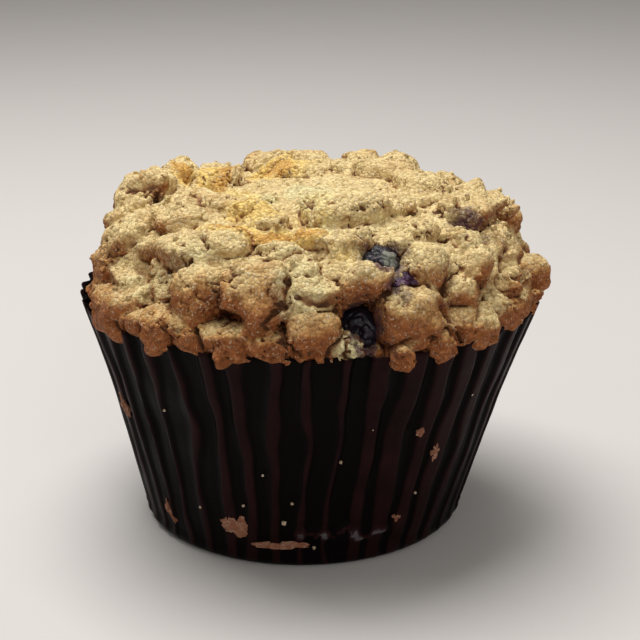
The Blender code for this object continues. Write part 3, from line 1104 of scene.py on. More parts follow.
def lump_shell(lump: Lump, matrix: Matrix, seed: int) -> tuple[np.ndarray, np.ndarray]:
    """The knobbly shell of a lump.

    Args:
        lump: The lump's size and sort.
        matrix: Its place in the frame.
        seed: A number that makes its knobbles its own.

    Returns:
        Its points in the frame, and its triangles.
    """
    ball, faces = unit_ball(5 if max(lump.width, lump.height) > 6.0 else 4)
    power = lump.kind.squareness
    form = ball / ((np.abs(ball) ** power).sum(axis=1, keepdims=True) ** (1.0 / power))
    shift = (seed * 3.7, seed * 1.3, seed * 5.1)
    stray = 1.0 + 2.0 * lump.kind.coarse * noise_at(ball, 1.3, shift)
    stray += 2.0 * lump.kind.fine * noise_at(ball, 3.6, shift)
    folds = 1.0 - np.abs(noise_at(ball, 1.5, shift)) * 9.0
    stray -= 0.05 * np.clip(folds, 0.0, 1.0) ** 2
    return in_frame(form * stray[:, None] * lump.half, matrix), faces


def reach(points: np.ndarray, matrix: Matrix, radii: Sequence[float]) -> np.ndarray:
    """How far points are from a middle, in radii: 0 at it and 1 on its ellipsoid.

    Args:
        points: Points in the frame.
        matrix: The stand of the ellipsoid.
        radii: Its radii along the stand's own axes, in metres.

    Returns:
        The distance of each point.
    """
    axes = np.array(matrix.to_3x3())
    local = (points - np.array(matrix.translation)) @ axes
    return np.sqrt(((local / np.array(radii)) ** 2).sum(axis=1))


@dataclass(frozen=True)
class Grains:
    """Small things that lie on the crust: their piece's name, the gap between them, their radii and their seed."""

    name: str
    spacing: float
    smallest: float
    largest: float
    subdivisions: int
    seed: int


LOOSE_CRUMBS = Grains("loose_crumbs", 1.15 * MM, 0.26 * MM, 0.70 * MM, 2, 31)
SUGAR_CRYSTALS = Grains("sugar_crystals", 1.2 * MM, 0.06 * MM, 0.14 * MM, 1, 47)


@dataclass
class Muffin:
    """The muffin: cake and streusel in one baked body, with the loose crumbs and the sugar on it.

    Lump edge, foot and meeting are distances in a lump's own radii: where a lump ends, where the crevice round its
    foot runs, and how near two lumps come where a crevice parts them.
    """

    cup: CupForm
    crust: CrustForm
    lump_edge: float = 1.25
    lump_foot: float = 1.08
    meeting: float = 0.14
    bare_toast: float = 0.30
    bare_crumbly: float = 0.8
    voxel: float = 0.47 * MM
    columns: int = 220
    dome_rows: int = 64
    cup_rows: int = 12
    clearance: float = 0.45 * MM
    flute_depth: float = 1.5 * MM
    foot_tuck: float = 1.5 * MM
    foot_height: float = 22.0 * MM
    cleft_depth: float = 1.6 * MM
    crumb_depth: float = 0.8 * MM
    zone_thickness: float = 12.0 * MM
    most_faces: int = 186_000
    seed: int = 7

    def build(self) -> None:
        """Builds the baked body and what lies on it."""
        finish = StreuselFinish().material()
        body = self.bake_body(finish)
        pieces = [self.strew(body, finish, LOOSE_CRUMBS)]
        pieces.append(self.strew(body, SugarFinish().material(), SUGAR_CRYSTALS))
        hand_over(body, "crumb", "muffin")
        for piece in pieces:
            hand_over(piece, "crumb")

    def back_lumps(self) -> list[Lump]:
        """The lumps of the back, in rings, with sizes, sorts and places that vary.

        Returns:
            The lumps, from the rim up.
        """
        chance = random.Random(12)
        first, last, spacing = 97.0, 266.0, 9.5 * MM
        lifts = (13.0, 24.0, 36.0, 49.0)
        made = []
        for lift in lifts:
            arc = math.radians(last - first) * self.crust.outline(lift)[0]
            count = max(2, round(arc / spacing))
            for step in range(count):
                bearing = first + (last - first) * (step + chance.uniform(0.3, 0.7)) / count
                width, height = chance.uniform(7.0, 11.5), chance.uniform(6.5, 10.0)
                lifted = lift + chance.uniform(-2.0, 2.5)
                thickness = chance.uniform(5.0, 7.5)
                kind = chance.choice((Kind.ROUND, Kind.ROUGH, Kind.ROUGH, Kind.SLAB))
                toast = chance.uniform(0.15, 0.75)
                made.append(Lump(bearing, lifted, width, height, thickness, kind, toast))
            if lift == lifts[0]:
                made += self.rim_lumps(chance)
        return made

    @staticmethod
    def rim_lumps(chance: random.Random) -> list[Lump]:
        """The lumps that hang over the paper's rim round the back.

        Args:
            chance: Where their random numbers come from.

        Returns:
            The lumps, from right to left.
        """
        first, last, count, thickness = 94.0, 264.0, 15, 8.0
        made = []
        for step in range(count):
            bearing = first + (last - first) * (step + chance.uniform(0.25, 0.75)) / count
            size = chance.uniform(5.0, 8.0)
            kind = chance.choice((Kind.ROUND, Kind.ROUGH, Kind.CLUSTER))
            lift, toast = chance.uniform(7.5, 10.0), chance.uniform(0.4, 0.8)
            made.append(Lump(bearing, lift, size * 1.3, size * 0.85, thickness, kind, toast, sunk=0.15))
        return made

    @staticmethod
    def front_rim_lumps() -> list[Lump]:
        """The small lumps that close the lowest row between the large ones, but for the berry's hole.

        Returns:
            The lumps, from left to right.
        """
        chance = random.Random(21)
        first, last, count, thickness = -88.0, 88.0, 31, 7.5
        hole_start, hole_end, side = 9.5, 18.5, 68.0
        made = []
        for step in range(count):
            bearing = first + (last - first) * (step + chance.uniform(0.2, 0.8)) / count
            size, lift = chance.uniform(4.2, 5.8), chance.uniform(8.0, 9.4)
            toast = chance.uniform(0.35, 0.75)
            if not hole_start < bearing < hole_end:
                kind = chance.choice((Kind.ROUND, Kind.ROUGH, Kind.ROUGH))
                sunk = 0.14 if abs(bearing) < side else 0.32
                made.append(Lump(bearing, lift, size * 1.6, size, thickness, kind, toast, sunk=sunk))
        return made

    def core(self) -> tuple[np.ndarray, list[list[int]], np.ndarray]:
        """The shell under the streusel: the cake's side in the cup, and the rough dome with its hollows.

        Returns:
            Its points, its faces, and the share of nuggets that each point takes.
        """
        corner = self.cup.corner_radius
        lowest_lift, highest_lift = 7.5, 89.5
        profile = [(self.cup.base_radius - corner - self.foot_tuck, self.clearance, 0.0)]
        for row in range(self.cup_rows):
            height = corner + (self.cup.height - corner) * row / (self.cup_rows - 1)
            tuck = self.clearance + self.flute_depth * (0.25 + 0.75 * height / self.cup.height)
            tuck += self.foot_tuck * max(0.0, 1.0 - height / self.foot_height)
            profile.append((self.cup.crest(height) - tuck, height, 0.0))
        for row in range(self.dome_rows):
            lift = lowest_lift + (highest_lift - lowest_lift) * row / (self.dome_rows - 1)
            profile.append((*self.crust.outline(lift), 1.0))
        turn = np.linspace(0.0, 2.0 * math.pi, self.columns, endpoint=False)
        radius, height, open_air = np.array(profile).T
        x = np.outer(radius, np.sin(turn)) + (self.cup.lean * height / self.cup.height)[:, None]
        y = -np.outer(radius, np.cos(turn))
        z = np.repeat(height[:, None], self.columns, axis=1)
        points = np.stack([x, y, z], axis=-1).reshape(-1, 3)
        share = np.repeat(open_air, self.columns)
        swell, knob = 7.0 * MM, 2.6 * MM
        rough = 1.1 * noise_at(points, 1 / swell, (1.0, 2.0, 3.0))
        rough += 0.4 * noise_at(points, 1 / knob, (4.0, 5.0, 6.0))
        moved = share * (rough * MM - self.crumb_depth)
        nuggets = share.copy()
        for zone, _ in HOLLOWS:
            nuggets *= smooth_step((self.zone_reach(points, zone) - 0.9) * 3.0)
        for zone in BATTER_ZONES:
            nuggets *= 1.0 - 0.85 * smooth_step(1.4 - self.zone_reach(points, zone))
        points = self.hollowed(points + self.dome_normals(points) * moved[:, None], share)
        faces = ring_faces(len(profile), self.columns)
        faces += [list(range(len(points) - self.columns, len(points))), list(reversed(range(self.columns)))]
        return points, faces, nuggets

    def hollowed(self, points: np.ndarray, share: Union[float, np.ndarray] = 1.0) -> np.ndarray:
        """Pushes points inwards where the crust has a hollow or a dip.

        Args:
            points: Points in the frame.
            share: How much of the push each point takes.

        Returns:
            The moved points.
        """
        depths = np.zeros(len(points))
        for zone, depth in (*HOLLOWS, *DIPS):
            depths += depth * smooth_step(1.45 - self.zone_reach(points, zone))
        return points - self.dome_normals(points) * (share * depths)[:, None]

    def off_axis(self, points: np.ndarray) -> tuple[np.ndarray, np.ndarray, np.ndarray]:
        """How far points are from the axis towards +X, how far in all, and how far over the dome's centre plane."""
        x = points[:, 0] - self.cup.lean * points[:, 2] / self.cup.height
        return x, np.hypot(x, points[:, 1]), np.maximum(points[:, 2] - self.crust.plane, 0.0)

    def dome_normals(self, points: np.ndarray) -> np.ndarray:
        """Which way the plain dome faces under each point.

        Args:
            points: Points in the frame.

        Returns:
            The dome's outward direction under each, of length 1.
        """
        x, radius, rise = self.off_axis(points)
        power = self.crust.squareness
        out = (radius / self.crust.radius) ** (power - 1) / self.crust.radius
        up = (rise / self.crust.rise) ** (power - 1) / self.crust.rise
        safe = np.maximum(radius, TINY)
        normals = np.stack([out * x / safe, out * points[:, 1] / safe, up], axis=1)
        return normals / np.maximum(np.linalg.norm(normals, axis=1, keepdims=True), 1e-9)

    def height_over_dome(self, points: np.ndarray) -> np.ndarray:
        """About how far points stand out of the plain dome, or of its foot's wall.

        Args:
            points: Points in the frame.

        Returns:
            Each point's height in metres, below 0 inside the dome.
        """
        _, radius, rise = self.off_axis(points)
        power = self.crust.squareness
        size = ((radius / self.crust.radius) ** power + (rise / self.crust.rise) ** power) ** (1.0 / power)
        return (1.0 - 1.0 / np.maximum(size, TINY)) * np.hypot(radius, rise)

    def zone_reach(self, points: np.ndarray, zone: Zone) -> np.ndarray:
        """How far points are from a zone's middle, in the zone's radii."""
        radii = (zone.across * MM, zone.up * MM, self.zone_thickness)
        return reach(points, self.crust.stand(zone.bearing, zone.lift), radii)

    def lump_stand(self, lump: Lump) -> Matrix:
        """The stand of a lump's middle, turned as the lump is."""
        stand = self.crust.stand(lump.bearing, lump.lift, -lump.sunk * lump.thickness * MM)
        return stand @ Matrix.Rotation(math.radians(lump.turn), 4, "Z")

    def bake_body(self, finish: bpy.types.Material) -> bpy.types.Object:
        """Fuses the core, the lumps and the nuggets into one skin, and gives it its grain.

        Args:
            finish: The streusel's material.

        Returns:
            The muffin as one closed piece.
        """
        pile = MeshPile()
        pile.add(*self.core())
        lumps = [*FRONT_LUMPS, *self.front_rim_lumps(), *self.back_lumps()]
        for number, lump in enumerate(lumps):
            points, faces = lump_shell(lump, self.lump_stand(lump), number)
            if lump.sunk > 0.0:
                points = self.hollowed(points)
            pile.add(points, faces.tolist(), lump.kind.nuggets)
        body = add_object("muffin_crust", pile.mesh("muffin_crust", "nuggets"))
        self.grow_nuggets(body, finish)
        skin = body.modifiers.new("one skin", "REMESH")
        skin.mode = "VOXEL"
        skin.voxel_size = self.voxel
        bake_modifiers(body)
        log.info("fused skin: %d faces", len(body.data.polygons))
        self.part_lumps(body.data, lumps)
        self.roughen(body, finish)
        self.thin_hidden(body)
        self.mark(body.data, lumps)
        return body

    def grow_nuggets(self, body: bpy.types.Object, finish: bpy.types.Material) -> None:
        """Scatters nuggets and crumbs over the shells, to be fused with them.

        Args:
            body: The gathered shells.
            finish: The streusel's material.
        """
        graph = ShapeGraph("nuggets")
        seed = graph.count("Seed", self.seed)
        bare = graph.speckle(graph.position(), 9.0 * MM, 2.0).ramp(0.38, 0.60, 0.05, 1.0)
        share = graph.attribute("nuggets") * bare
        sizes = (
            (graph.size("Nugget Spacing", 3.3 * MM), graph.size("Nugget Size", 1.30 * MM), 3),
            (graph.size("Crumb Spacing", 1.8 * MM), graph.size("Crumb Size", 0.70 * MM), 2),
        )
        grown = graph.geometry
        for step, (spacing, size, subdivisions) in enumerate(sizes):
            spread = graph.scatter(spacing, NUGGET_DENSITY, share, seed + step)
            scale = graph.chance((0.55, 0.55, 0.45), (1.25, 1.15, 1.0), seed + 20 + step)
            points = graph.move(spread.out("Points"), graph.vector("SCALE", spread.out("Normal"), size * -0.35))
            balls = graph.balls(points, size, subdivisions, scale, seed + 10 + step)
            rough = graph.knobbly(balls, 1.6 * MM, size * 1.3, 1.0)
            both = graph.node("GeometryNodeJoinGeometry", {}, {"Geometry": grown})
            graph.tree.links.new(rough.socket, both.node.inputs["Geometry"])
            grown = both.out("Geometry")
        graph.run(body, grown, finish)

    def roughen(self, body: bpy.types.Object, finish: bpy.types.Material) -> None:
        """Gives the fused skin its granular relief, and stores where its ridges and crevices are.

        Args:
            body: The fused skin.
            finish: The streusel's material.
        """
        graph = ShapeGraph("grain")
        crumb = graph.size("Crumb Height", 0.46 * MM)
        split_depth = graph.size("Split Depth", 0.55 * MM)
        grain = graph.size("Grain Height", 0.17 * MM)
        pit = graph.size("Pit Depth", 0.25 * MM)
        where = graph.position()
        open_air = graph.upward(where).ramp(self.cup.height - 3.5 * MM, self.cup.height - 0.5 * MM)
        loose = graph.speckle(where, 8.0 * MM, 2.0).ramp(0.35, 0.65, 0.5, 1.1) * graph.attribute("crumbly")
        rounded = 1.0 - graph.cells(where, 1.5 * MM).out("Distance") ** 2.0 * 1.6
        coarse = (graph.speckle(where, 1.9 * MM, 2.0) - 0.5) * 1.3 + (rounded - 0.4) * 0.75
        fine = (graph.speckle(where, 0.8 * MM, 2.0, 0.6) - 0.5) * 2.0
        holes = graph.cells(where, 2.1 * MM).out("Distance").ramp(0.10, 0.22, 1.0, 0.0)
        bent = graph.math("ABSOLUTE", graph.speckle(where, 5.5 * MM, 2.0, 0.6) - 0.5)
        splits = bent.ramp(0.006, 0.022, 1.0, 0.0) * graph.speckle(where, 7.0 * MM, 1.0).ramp(0.46, 0.60)
        relief = coarse * crumb * loose + fine * grain - holes * pit * loose - splits * split_depth
        push = graph.vector("SCALE", graph.normal(), relief * open_air)
        shaped = graph.move(graph.store(graph.geometry, "split", splits * open_air), push)
        for name, rounds, scale in (("peak", 8, 0.30 * MM), ("ridge", 60, 1.1 * MM)):
            proud = graph.vector("SUBTRACT", graph.position(), graph.eased(graph.position(), rounds))
            inputs = {0: proud, 1: graph.normal()}
            along = graph.node("ShaderNodeVectorMath", {"operation": "DOT_PRODUCT"}, inputs).out("Value")
            shaped = graph.store(shaped, name, along / scale)
        # How far the surface faces down, smoothed over each lump; the finish paints it as shade
        rise = graph.upward(graph.eased(graph.normal(), 25))
        shaped = graph.store(shaped, "underside", rise.ramp(-0.1, 0.75, 1.0, 0.0))
        graph.run(body, shaped, finish)

    def thin_hidden(self, body: bpy.types.Object) -> None:
        """Thins the skin's faces inside the cup, which nobody sees, and the rest if it is still too fine.

        Args:
            body: The roughened skin.
        """
        out_of_sight, share_removed = self.cup.height - 4.0 * MM, 0.94
        places = vertex_places(body.data)
        inside = body.vertex_groups.new(name="inside the cup")
        hidden = np.flatnonzero(places[:, 2] < out_of_sight)
        inside.add(hidden.tolist(), 1.0, "REPLACE")
        triangles = 2 * len(body.data.polygons)
        keep = 1.0 - share_removed * len(hidden) / len(places)
        thin = body.modifiers.new("thin", "DECIMATE")
        thin.ratio = min(keep, self.most_faces / triangles)
        thin.vertex_group = inside.name
        thin.vertex_group_factor = 1.0
        bake_modifiers(body)
        places = vertex_places(body.data)
        places[:, 2] = np.maximum(places[:, 2], self.clearance)
        body.data.vertices.foreach_set("co", places.ravel())
        body.data.update()

    def nearness(self, points: np.ndarray, lumps: Sequence[Lump]) -> tuple[np.ndarray, np.ndarray, np.ndarray]:
        """How far points are from the lumps, in each lump's own radii.

        Args:
            points: Points in the frame.
            lumps: The lumps.

        Returns:
            The distance from the nearest lump and from the next one, and the number of the nearest, or -1 off it.
        """
        nearest = following = np.full(len(points), FAR_OFF)
        owner = np.full(len(points), -1)
        for number, lump in enumerate(lumps):
            near = reach(points, self.lump_stand(lump), lump.half)
            closer = near < nearest
            following = np.where(closer, nearest, np.minimum(following, near))
            owner[closer & (near < self.lump_edge)] = number
            nearest = np.minimum(nearest, near)
        return nearest, following, owner

    def part_lumps(self, mesh: bpy.types.Mesh, lumps: Sequence[Lump]) -> None:
        """Deepens the clefts where one lump meets another or the crumb under it, and stores where they are.

        Args:
            mesh: The fused skin.
            lumps: Every lump on it.
        """
        points = vertex_places(mesh).astype(float)
        nearest, following, owner = self.nearness(points, lumps)
        between = (1.0 - (following - nearest) / self.meeting) * (nearest < 1.16)
        low_lying = smooth_step((0.4 * MM - self.height_over_dome(points)) / (1.0 * MM))
        around = (1.0 - np.abs(nearest - self.lump_foot) / 0.12) * low_lying * 0.7
        cleft = smooth_step(np.maximum(between, around * 0.9))
        cleft *= smooth_step(0.70 + 2.2 * noise_at(points, 1 / (6.0 * MM), (9.0, 4.0, 1.0)))
        depths = cleft * self.cleft_depth
        cracked, deep = self.cracked(points)
        cleft, depths = np.maximum(cleft, cracked), np.maximum(depths, deep)
        open_air = smooth_step((points[:, 2] - self.cup.height + 2.0 * MM) / (3.0 * MM))
        points -= self.dome_normals(points) * (open_air * depths)[:, None]
        mesh.vertices.foreach_set("co", points.astype(np.float32).ravel())
        mesh.update()
        store_numbers(mesh, "crevice", cleft)
        crumbly = np.array([*(0.40 + 0.9 * lump.kind.nuggets for lump in lumps), self.bare_crumbly])
        store_numbers(mesh, "crumbly", crumbly[owner])

    def cracked(self, points: np.ndarray) -> tuple[np.ndarray, np.ndarray]:
        """Follows the crevices over the crust.

        Args:
            points: Points in the frame.

        Returns:
            How far into a crevice each point is, from 0 to 1, and how deep the crevice goes there.
        """
        normals = self.dome_normals(points)
        bend, jag = 0.9 * MM, 0.5 * MM
        wobble = bend * noise_at(points, 1 / (3.6 * MM), (2.0, 7.0, 5.0))
        wobble += jag * noise_at(points, 1 / (1.4 * MM), (6.0, 1.0, 3.0))
        open_share = np.clip(0.75 + 1.5 * noise_at(points, 1 / (4.5 * MM), (3.0, 3.0, 8.0)), 0.1, 1.2)
        inside, depths = np.zeros(len(points)), np.zeros(len(points))
        for crack in CRACKS:
            stops = [np.array(self.crust.stand(*stop).translation) for stop in crack.path]
            off = np.full(len(points), 1.0)
            for start, end in zip(stops, stops[1:]):
                along = end - start
                share = np.clip((points - start) @ along / (along @ along), 0.0, 1.0)
                gap = points - start - share[:, None] * along
                gap -= normals * (gap * normals).sum(axis=1)[:, None]
                off = np.minimum(off, np.linalg.norm(gap, axis=1))
            half = crack.width * MM / 2
            near = open_share * smooth_step((1.5 * half - off - wobble) / (1.3 * half))
            inside = np.maximum(inside, near)
            depths = np.maximum(depths, near * crack.depth * MM)
        return inside, depths

    def mark(self, mesh: bpy.types.Mesh, lumps: Sequence[Lump]) -> None:
        """Stores each point's toast, and where the batter, its browning and the berries' juice show.

        Args:
            mesh: The finished skin.
            lumps: Every lump on it.
        """
        points = vertex_places(mesh).astype(float)
        toasts = np.array([*(lump.toast for lump in lumps), self.bare_toast])
        store_numbers(mesh, "toast", toasts[self.nearness(points, lumps)[2]])
        colours = {"batter": BATTER_ZONES, "golden": GOLDEN_ZONES, "raw": RAW_ZONES, "stain": STAIN_ZONES}
        for name, zones in colours.items():
            share = np.zeros(len(points))
            for zone in zones:
                near = self.zone_reach(points, zone)
                share = np.maximum(share, zone.strength * smooth_step((1.7 - near) / 1.2))
            store_numbers(mesh, name, share)

    def strew(self, body: bpy.types.Object, finish: bpy.types.Material, grains: Grains) -> bpy.types.Object:
        """Strews grains over the crust above the paper's rim.

        Args:
            body: The crust.
            finish: The grains' material.
            grains: Their sizes and their spacing.

        Returns:
            The grains as one piece.
        """
        graph = ShapeGraph(grains.name)
        gap = graph.size("Spacing", grains.spacing)
        small, large = graph.size("Smallest", grains.smallest), graph.size("Largest", grains.largest)
        seed = graph.count("Seed", grains.seed)
        patchy = graph.speckle(graph.position(), 7.0 * MM, 2.0).ramp(0.40, 0.62, 0.15, 1.0)
        lodged = (graph.attribute("crevice") + graph.attribute("ridge") * -0.5).ramp(0.15, 0.75, 0.22, 1.0)
        share = graph.upward(graph.position()).ramp(self.cup.height, self.cup.height + 4.0 * MM) * patchy * lodged
        points = graph.scatter(gap, GRAIN_DENSITY, share, seed).out("Points")
        size = graph.node("FunctionNodeRandomValue", {}, {"Min": small, "Max": large, "Seed": seed + 2}).out("Value")
        scale = graph.vector("SCALE", graph.chance((0.7, 0.7, 0.6), (1.3, 1.1, 1.0)), size)
        balls = graph.balls(points, 1.0, grains.subdivisions, scale, seed + 1)
        piece = add_object(grains.name, body.data.copy())
        graph.run(piece, graph.knobbly(balls, grains.largest, grains.largest * 1.5), finish)
        return piece


# ---- The paper cup ----


@dataclass
class PaperCup:
    """The dark paper cup, pleated all round, with its creases and the fold at its foot.

    The fold is crumpled round a bearing and a height in millimetres, and the crests are broadest at another bearing.
    """

    cup: CupForm
    flutes: int = 44
    steps_per_flute: int = 16
    corner_steps: int = 9
    wall_rows: int = 46
    depth_low: float = 0.35 * MM
    depth_rim: float = 1.5 * MM
    flare: float = 1.1 * MM
    flare_start: float = 0.60
    thickness: float = 0.15 * MM
    fold_bearing: float = 14.0
    fold_height: float = 7.0
    broad_bearing: float = 31.0
    seed: int = 5

    def build(self) -> None:
        """Builds the pleated cup with its wall's real thickness."""
        piece = add_object("pleated_paper_cup", self.plain_cup())
        self.pleat(piece, PaperFinish().material())
        wall = piece.modifiers.new("paper", "SOLIDIFY")
        wall.thickness = self.thickness
        wall.offset = -1.0
        wall.use_even_offset = True
        bake_modifiers(piece)
        hand_over(piece, "paper", "paper_cup")

    def profile(self) -> list[tuple[float, float, float]]:
        """The unpleated outline from the middle of the foot to the rim: radius, height and depth of the pleats.

        Returns:
            The outline, with lengths in metres.
        """
        corner = self.cup.corner_radius
        turn_end = math.pi / 2 - self.cup.slope
        centre = self.cup.crest(corner) - corner * math.cos(self.cup.slope)
        outline = [(centre * share, 0.0, 0.0) for share in (0.15, 0.4, 0.65, 0.85, 0.95, 1.0)]
        for step in range(1, self.corner_steps + 1):
            angle = turn_end * step / self.corner_steps
            depth = self.depth_low * step / self.corner_steps
            outline.append((centre + corner * math.sin(angle), corner * (1 - math.cos(angle)), depth))
        start = outline[-1][1]
        for row in range(1, self.wall_rows):
            height = start + (self.cup.height - start) * row / (self.wall_rows - 1)
            share = height / self.cup.height
            flared = max(0.0, (share - self.flare_start) / (1.0 - self.flare_start))
            radius = self.cup.crest(height) + self.flare * flared**1.3
            outline.append((radius, height, self.depth_low + (self.depth_rim - self.depth_low) * share))
        return outline

    def plain_cup(self) -> bpy.types.Mesh:
        """The cup without its pleats, with its flute count, its pleat depth and its foot's fold stored on it.

        Returns:
            The cup as one open sheet.
        """
        columns = self.flutes * self.steps_per_flute
        outline = self.profile()
        points, phase, depth, fold, broad = [(0.0, 0.0, 0.0)], [0.0], [0.0], [0.0], [0.0]
        for radius, height, deep in outline:
            for column in range(columns):
                bearing = 2.0 * math.pi * column / columns
                x, y = radius * math.sin(bearing), -radius * math.cos(bearing)
                points.append((x + self.cup.lean_at(height), y, height))
                phase.append(column / self.steps_per_flute)
                depth.append(deep)
                fold.append(self.fold_at(math.degrees(bearing), height))
                broad.append(self.broad_at(math.degrees(bearing)))
        foot = [[0, 1 + (column + 1) % columns, 1 + column] for column in range(columns)]
        mesh = new_mesh("plain_cup", points, foot + ring_faces(len(outline), columns, 1))
        stored = {"phase": phase, "pleat depth": depth, "fold": fold, "broad": broad}
        for name, numbers in stored.items():
            store_numbers(mesh, name, np.array(numbers))
        return mesh

    @staticmethod
    def away(bearing: float, middle: float) -> float:
        """How many degrees a bearing from 0 to 360 is away from a middle near the front."""
        return abs((bearing + 180.0) % 360.0 - 180.0 - middle)

    def broad_at(self, bearing: float) -> float:
        """How broad and flat the pleats' crests are, from 0 to 1, at a bearing in degrees."""
        return max(0.0, min(1.0, 2.4 - self.away(bearing, self.broad_bearing) / 10.0))

    def fold_at(self, bearing: float, height: float) -> float:
        """How strongly the paper is crumpled near its foot, from 0 to 1, at a bearing in degrees."""
        along = max(0.0, 1.0 - self.away(bearing, self.fold_bearing) / 21.0)
        up = max(0.0, 1.0 - abs(height / MM - self.fold_height) / self.fold_height)
        return min(1.0, along * 2.0) * min(1.0, up * 2.0)

    def pleat(self, piece: bpy.types.Object, finish: bpy.types.Material) -> None:
        """Folds the wall into uneven pleats: narrow crests and wide, flat valleys, each with a depth of its own.

        Args:
            piece: The plain cup.
            finish: The paper's material.
        """
        graph = ShapeGraph("pleats")
        flutes = graph.count("Flutes", self.flutes)
        wander = graph.size("Wander", 0.42)
        ripple = graph.size("Ripple", 0.35 * MM)
        crumple = graph.size("Crumple", 1.7 * MM)
        seed = graph.count("Seed", self.seed)
        where = graph.position()
        long_way = graph.vector("MULTIPLY", where, (1.0, 1.0, 0.45))
        drift = (graph.speckle(long_way, 9.0 * MM, 1.0) - 0.5) * 2.0
        phase = graph.attribute("phase") + drift * wander
        own = graph.math("WRAP", graph.math("FLOOR", phase), flutes, 0.0) + seed
        chance = graph.node("ShaderNodeTexWhiteNoise", {"noise_dimensions": "1D"}, {"W": own}).out("Value")
        across = graph.math("FRACT", phase)
        lean = graph.math("SINE", across * (2.0 * math.pi)) * (chance - 0.5) * 0.16
        swing = graph.math("ABSOLUTE", graph.math("FRACT", across + lean) * 2.0 - 1.0)
        own_width = (graph.speckle(where, 16.0 * MM, 1.0) - 0.5).ramp(-0.16, 0.16, 0.55, 1.0)
        narrow = own_width * (1.0 - graph.attribute("broad"))
        crest = swing.ramp(narrow * 0.5, narrow * 0.5 + 0.5)
        valley = (0.72 + 0.28 * chance) * (1.0 - crest)
        loose = (graph.speckle(where, 14.0 * MM, 1.0) - 0.5).ramp(-0.2, 0.2, 0.75, 1.05)
        depth, fold = graph.attribute("pleat depth"), graph.attribute("fold")
        height = graph.upward(where)
        flat = graph.vector("MULTIPLY", where, (1.0, 1.0, 0.0))
        line = (graph.speckle(flat, 3.2 * MM, 2.0, 0.6) - 0.5) * (9.0 * MM) + 7.6 * MM
        off = graph.math("ABSOLUTE", height - line)
        creased = off.ramp(0.1 * MM, 1.3 * MM, 1.0, 0.0) * fold
        dent = crumple * (height.ramp(4.0 * MM, 9.0 * MM, 0.35, 0.0) * fold - creased * 0.5)
        wave = (graph.speckle(where, 5.0 * MM, 2.0) - 0.5) * ripple * (depth / self.depth_rim)
        middle = graph.node("ShaderNodeCombineXYZ", {}, {"X": height * (self.cup.lean / self.cup.height), "Z": height})
        outwards = graph.vector("NORMALIZE", graph.vector("SUBTRACT", where, middle.out("Vector")), (0.0, 0.0, 0.0))
        wall = (depth * (1.0 / self.depth_low)).ramp(0.0, 1.0)
        push = graph.vector("SCALE", outwards, (wave - depth * valley * loose - dent) * wall)
        # The crests and the foot's fold, where the paper's finish paints highlights
        stored = graph.store(graph.geometry, "crease", crest + creased * 1.5)
        graph.run(piece, graph.move(stored, push), finish)


# ---- Berries, and crumbs that stuck to the paper ----


# The torn flesh: each blob's place beside the berry, across, up and out, and its size, all in millimetres
TORN_FLESH = (
    (1.8, -3.0, 1.5, 1.5),
    (3.3, -3.5, 1.4, 1.5),
    (2.2, -4.7, 1.6, 1.3),
    (1.0, -5.8, 1.7, 1.1),
    (4.2, -4.6, 1.2, 1.0),
)


@dataclass
class Berry:
    """A blueberry in its hollow, wrinkled by the oven, with torn flesh beside it where it burst.

    Dusty and haze are how strong the bloom is on the side that faces out and all over.
    """

    name: str
    node: str
    matrix: Matrix
    radius: float
    seed: int
    dusty: float = 1.0
    haze: float = 0.0
    burst: tuple[tuple[float, float, float, float], ...] = ()
    dimple_at: Triple = (-0.35, 0.3, 0.89)
    bloom_at: Triple = (0.22, -0.22, 0.95)

    def build(self, skin: bpy.types.Material, flesh: bpy.types.Material) -> None:
        """Builds the berry with its torn flesh.

        Args:
            skin: The finish of its skin.
            flesh: The finish of its torn flesh.
        """
        skin_points, faces, bloom = self.skin_shell()
        pile = MeshPile()
        pile.add(in_frame(skin_points, self.matrix), faces.tolist(), bloom)
        ball, small_faces = unit_ball(4)
        for number, (x, y, z, size) in enumerate(self.burst):
            knobs = 1.0 + 0.7 * noise_at(ball, 0.9, (number * 3.1, self.seed, 2.0))
            knobs += 0.30 * noise_at(ball, 3.2, (number * 1.3, self.seed, 5.0))
            blob = ball * knobs[:, None] * np.array((1.0, 0.7, 0.4)) * size * MM + np.array((x, y, z)) * MM
            pile.add(in_frame(blob, self.matrix), small_faces.tolist())
        mesh = pile.mesh(self.name, "bloom", skin, flesh)
        slots = np.arange(len(mesh.polygons)) >= len(faces)
        mesh.polygons.foreach_set("material_index", slots.astype(np.int32))
        hand_over(add_object(self.name, mesh), "berry", self.node)

    def skin_shell(self) -> tuple[np.ndarray, np.ndarray, np.ndarray]:
        """The wrinkled skin with its dimple.

        Returns:
            Its points about the berry's middle, its triangles, and how much bloom each point has.
        """
        points, faces = unit_ball(6)
        shift = (self.seed * 2.3, self.seed * 4.1, self.seed * 0.7)
        stray = 1.0 + 0.10 * noise_at(points, 1.2, shift)
        wrinkle = np.clip(1.0 - np.abs(noise_at(points, 2.3, shift)) * 6.0, 0.0, 1.0)
        stray -= 0.075 * wrinkle + 0.020 * noise_at(points, 6.0, shift)
        dimple = np.clip(1.0 - np.linalg.norm(points - np.array(self.dimple_at), axis=1) / 0.42, 0.0, 1.0)
        rim = np.clip(1.0 - np.abs(dimple - 0.35) / 0.22, 0.0, 1.0)
        stray += 0.05 * rim - 0.16 * smooth_step(dimple * 1.6)
        off = np.linalg.norm(points - np.array(self.bloom_at), axis=1)
        bloom = self.haze + self.dusty * (smooth_step((0.62 - off) / 0.30) - 0.45 * wrinkle)
        return points * stray[:, None] * self.radius * np.array((1.0, 1.0, 0.92)), faces, bloom


@dataclass(frozen=True)
class Smear:
    """A flat crumb that stuck to the paper, at a bearing in degrees and a height, with sizes in millimetres."""

    node: str
    bearing: float
    height: float
    width: float
    length: float
    turn: float = 0.0
    thickness: float = 1.2


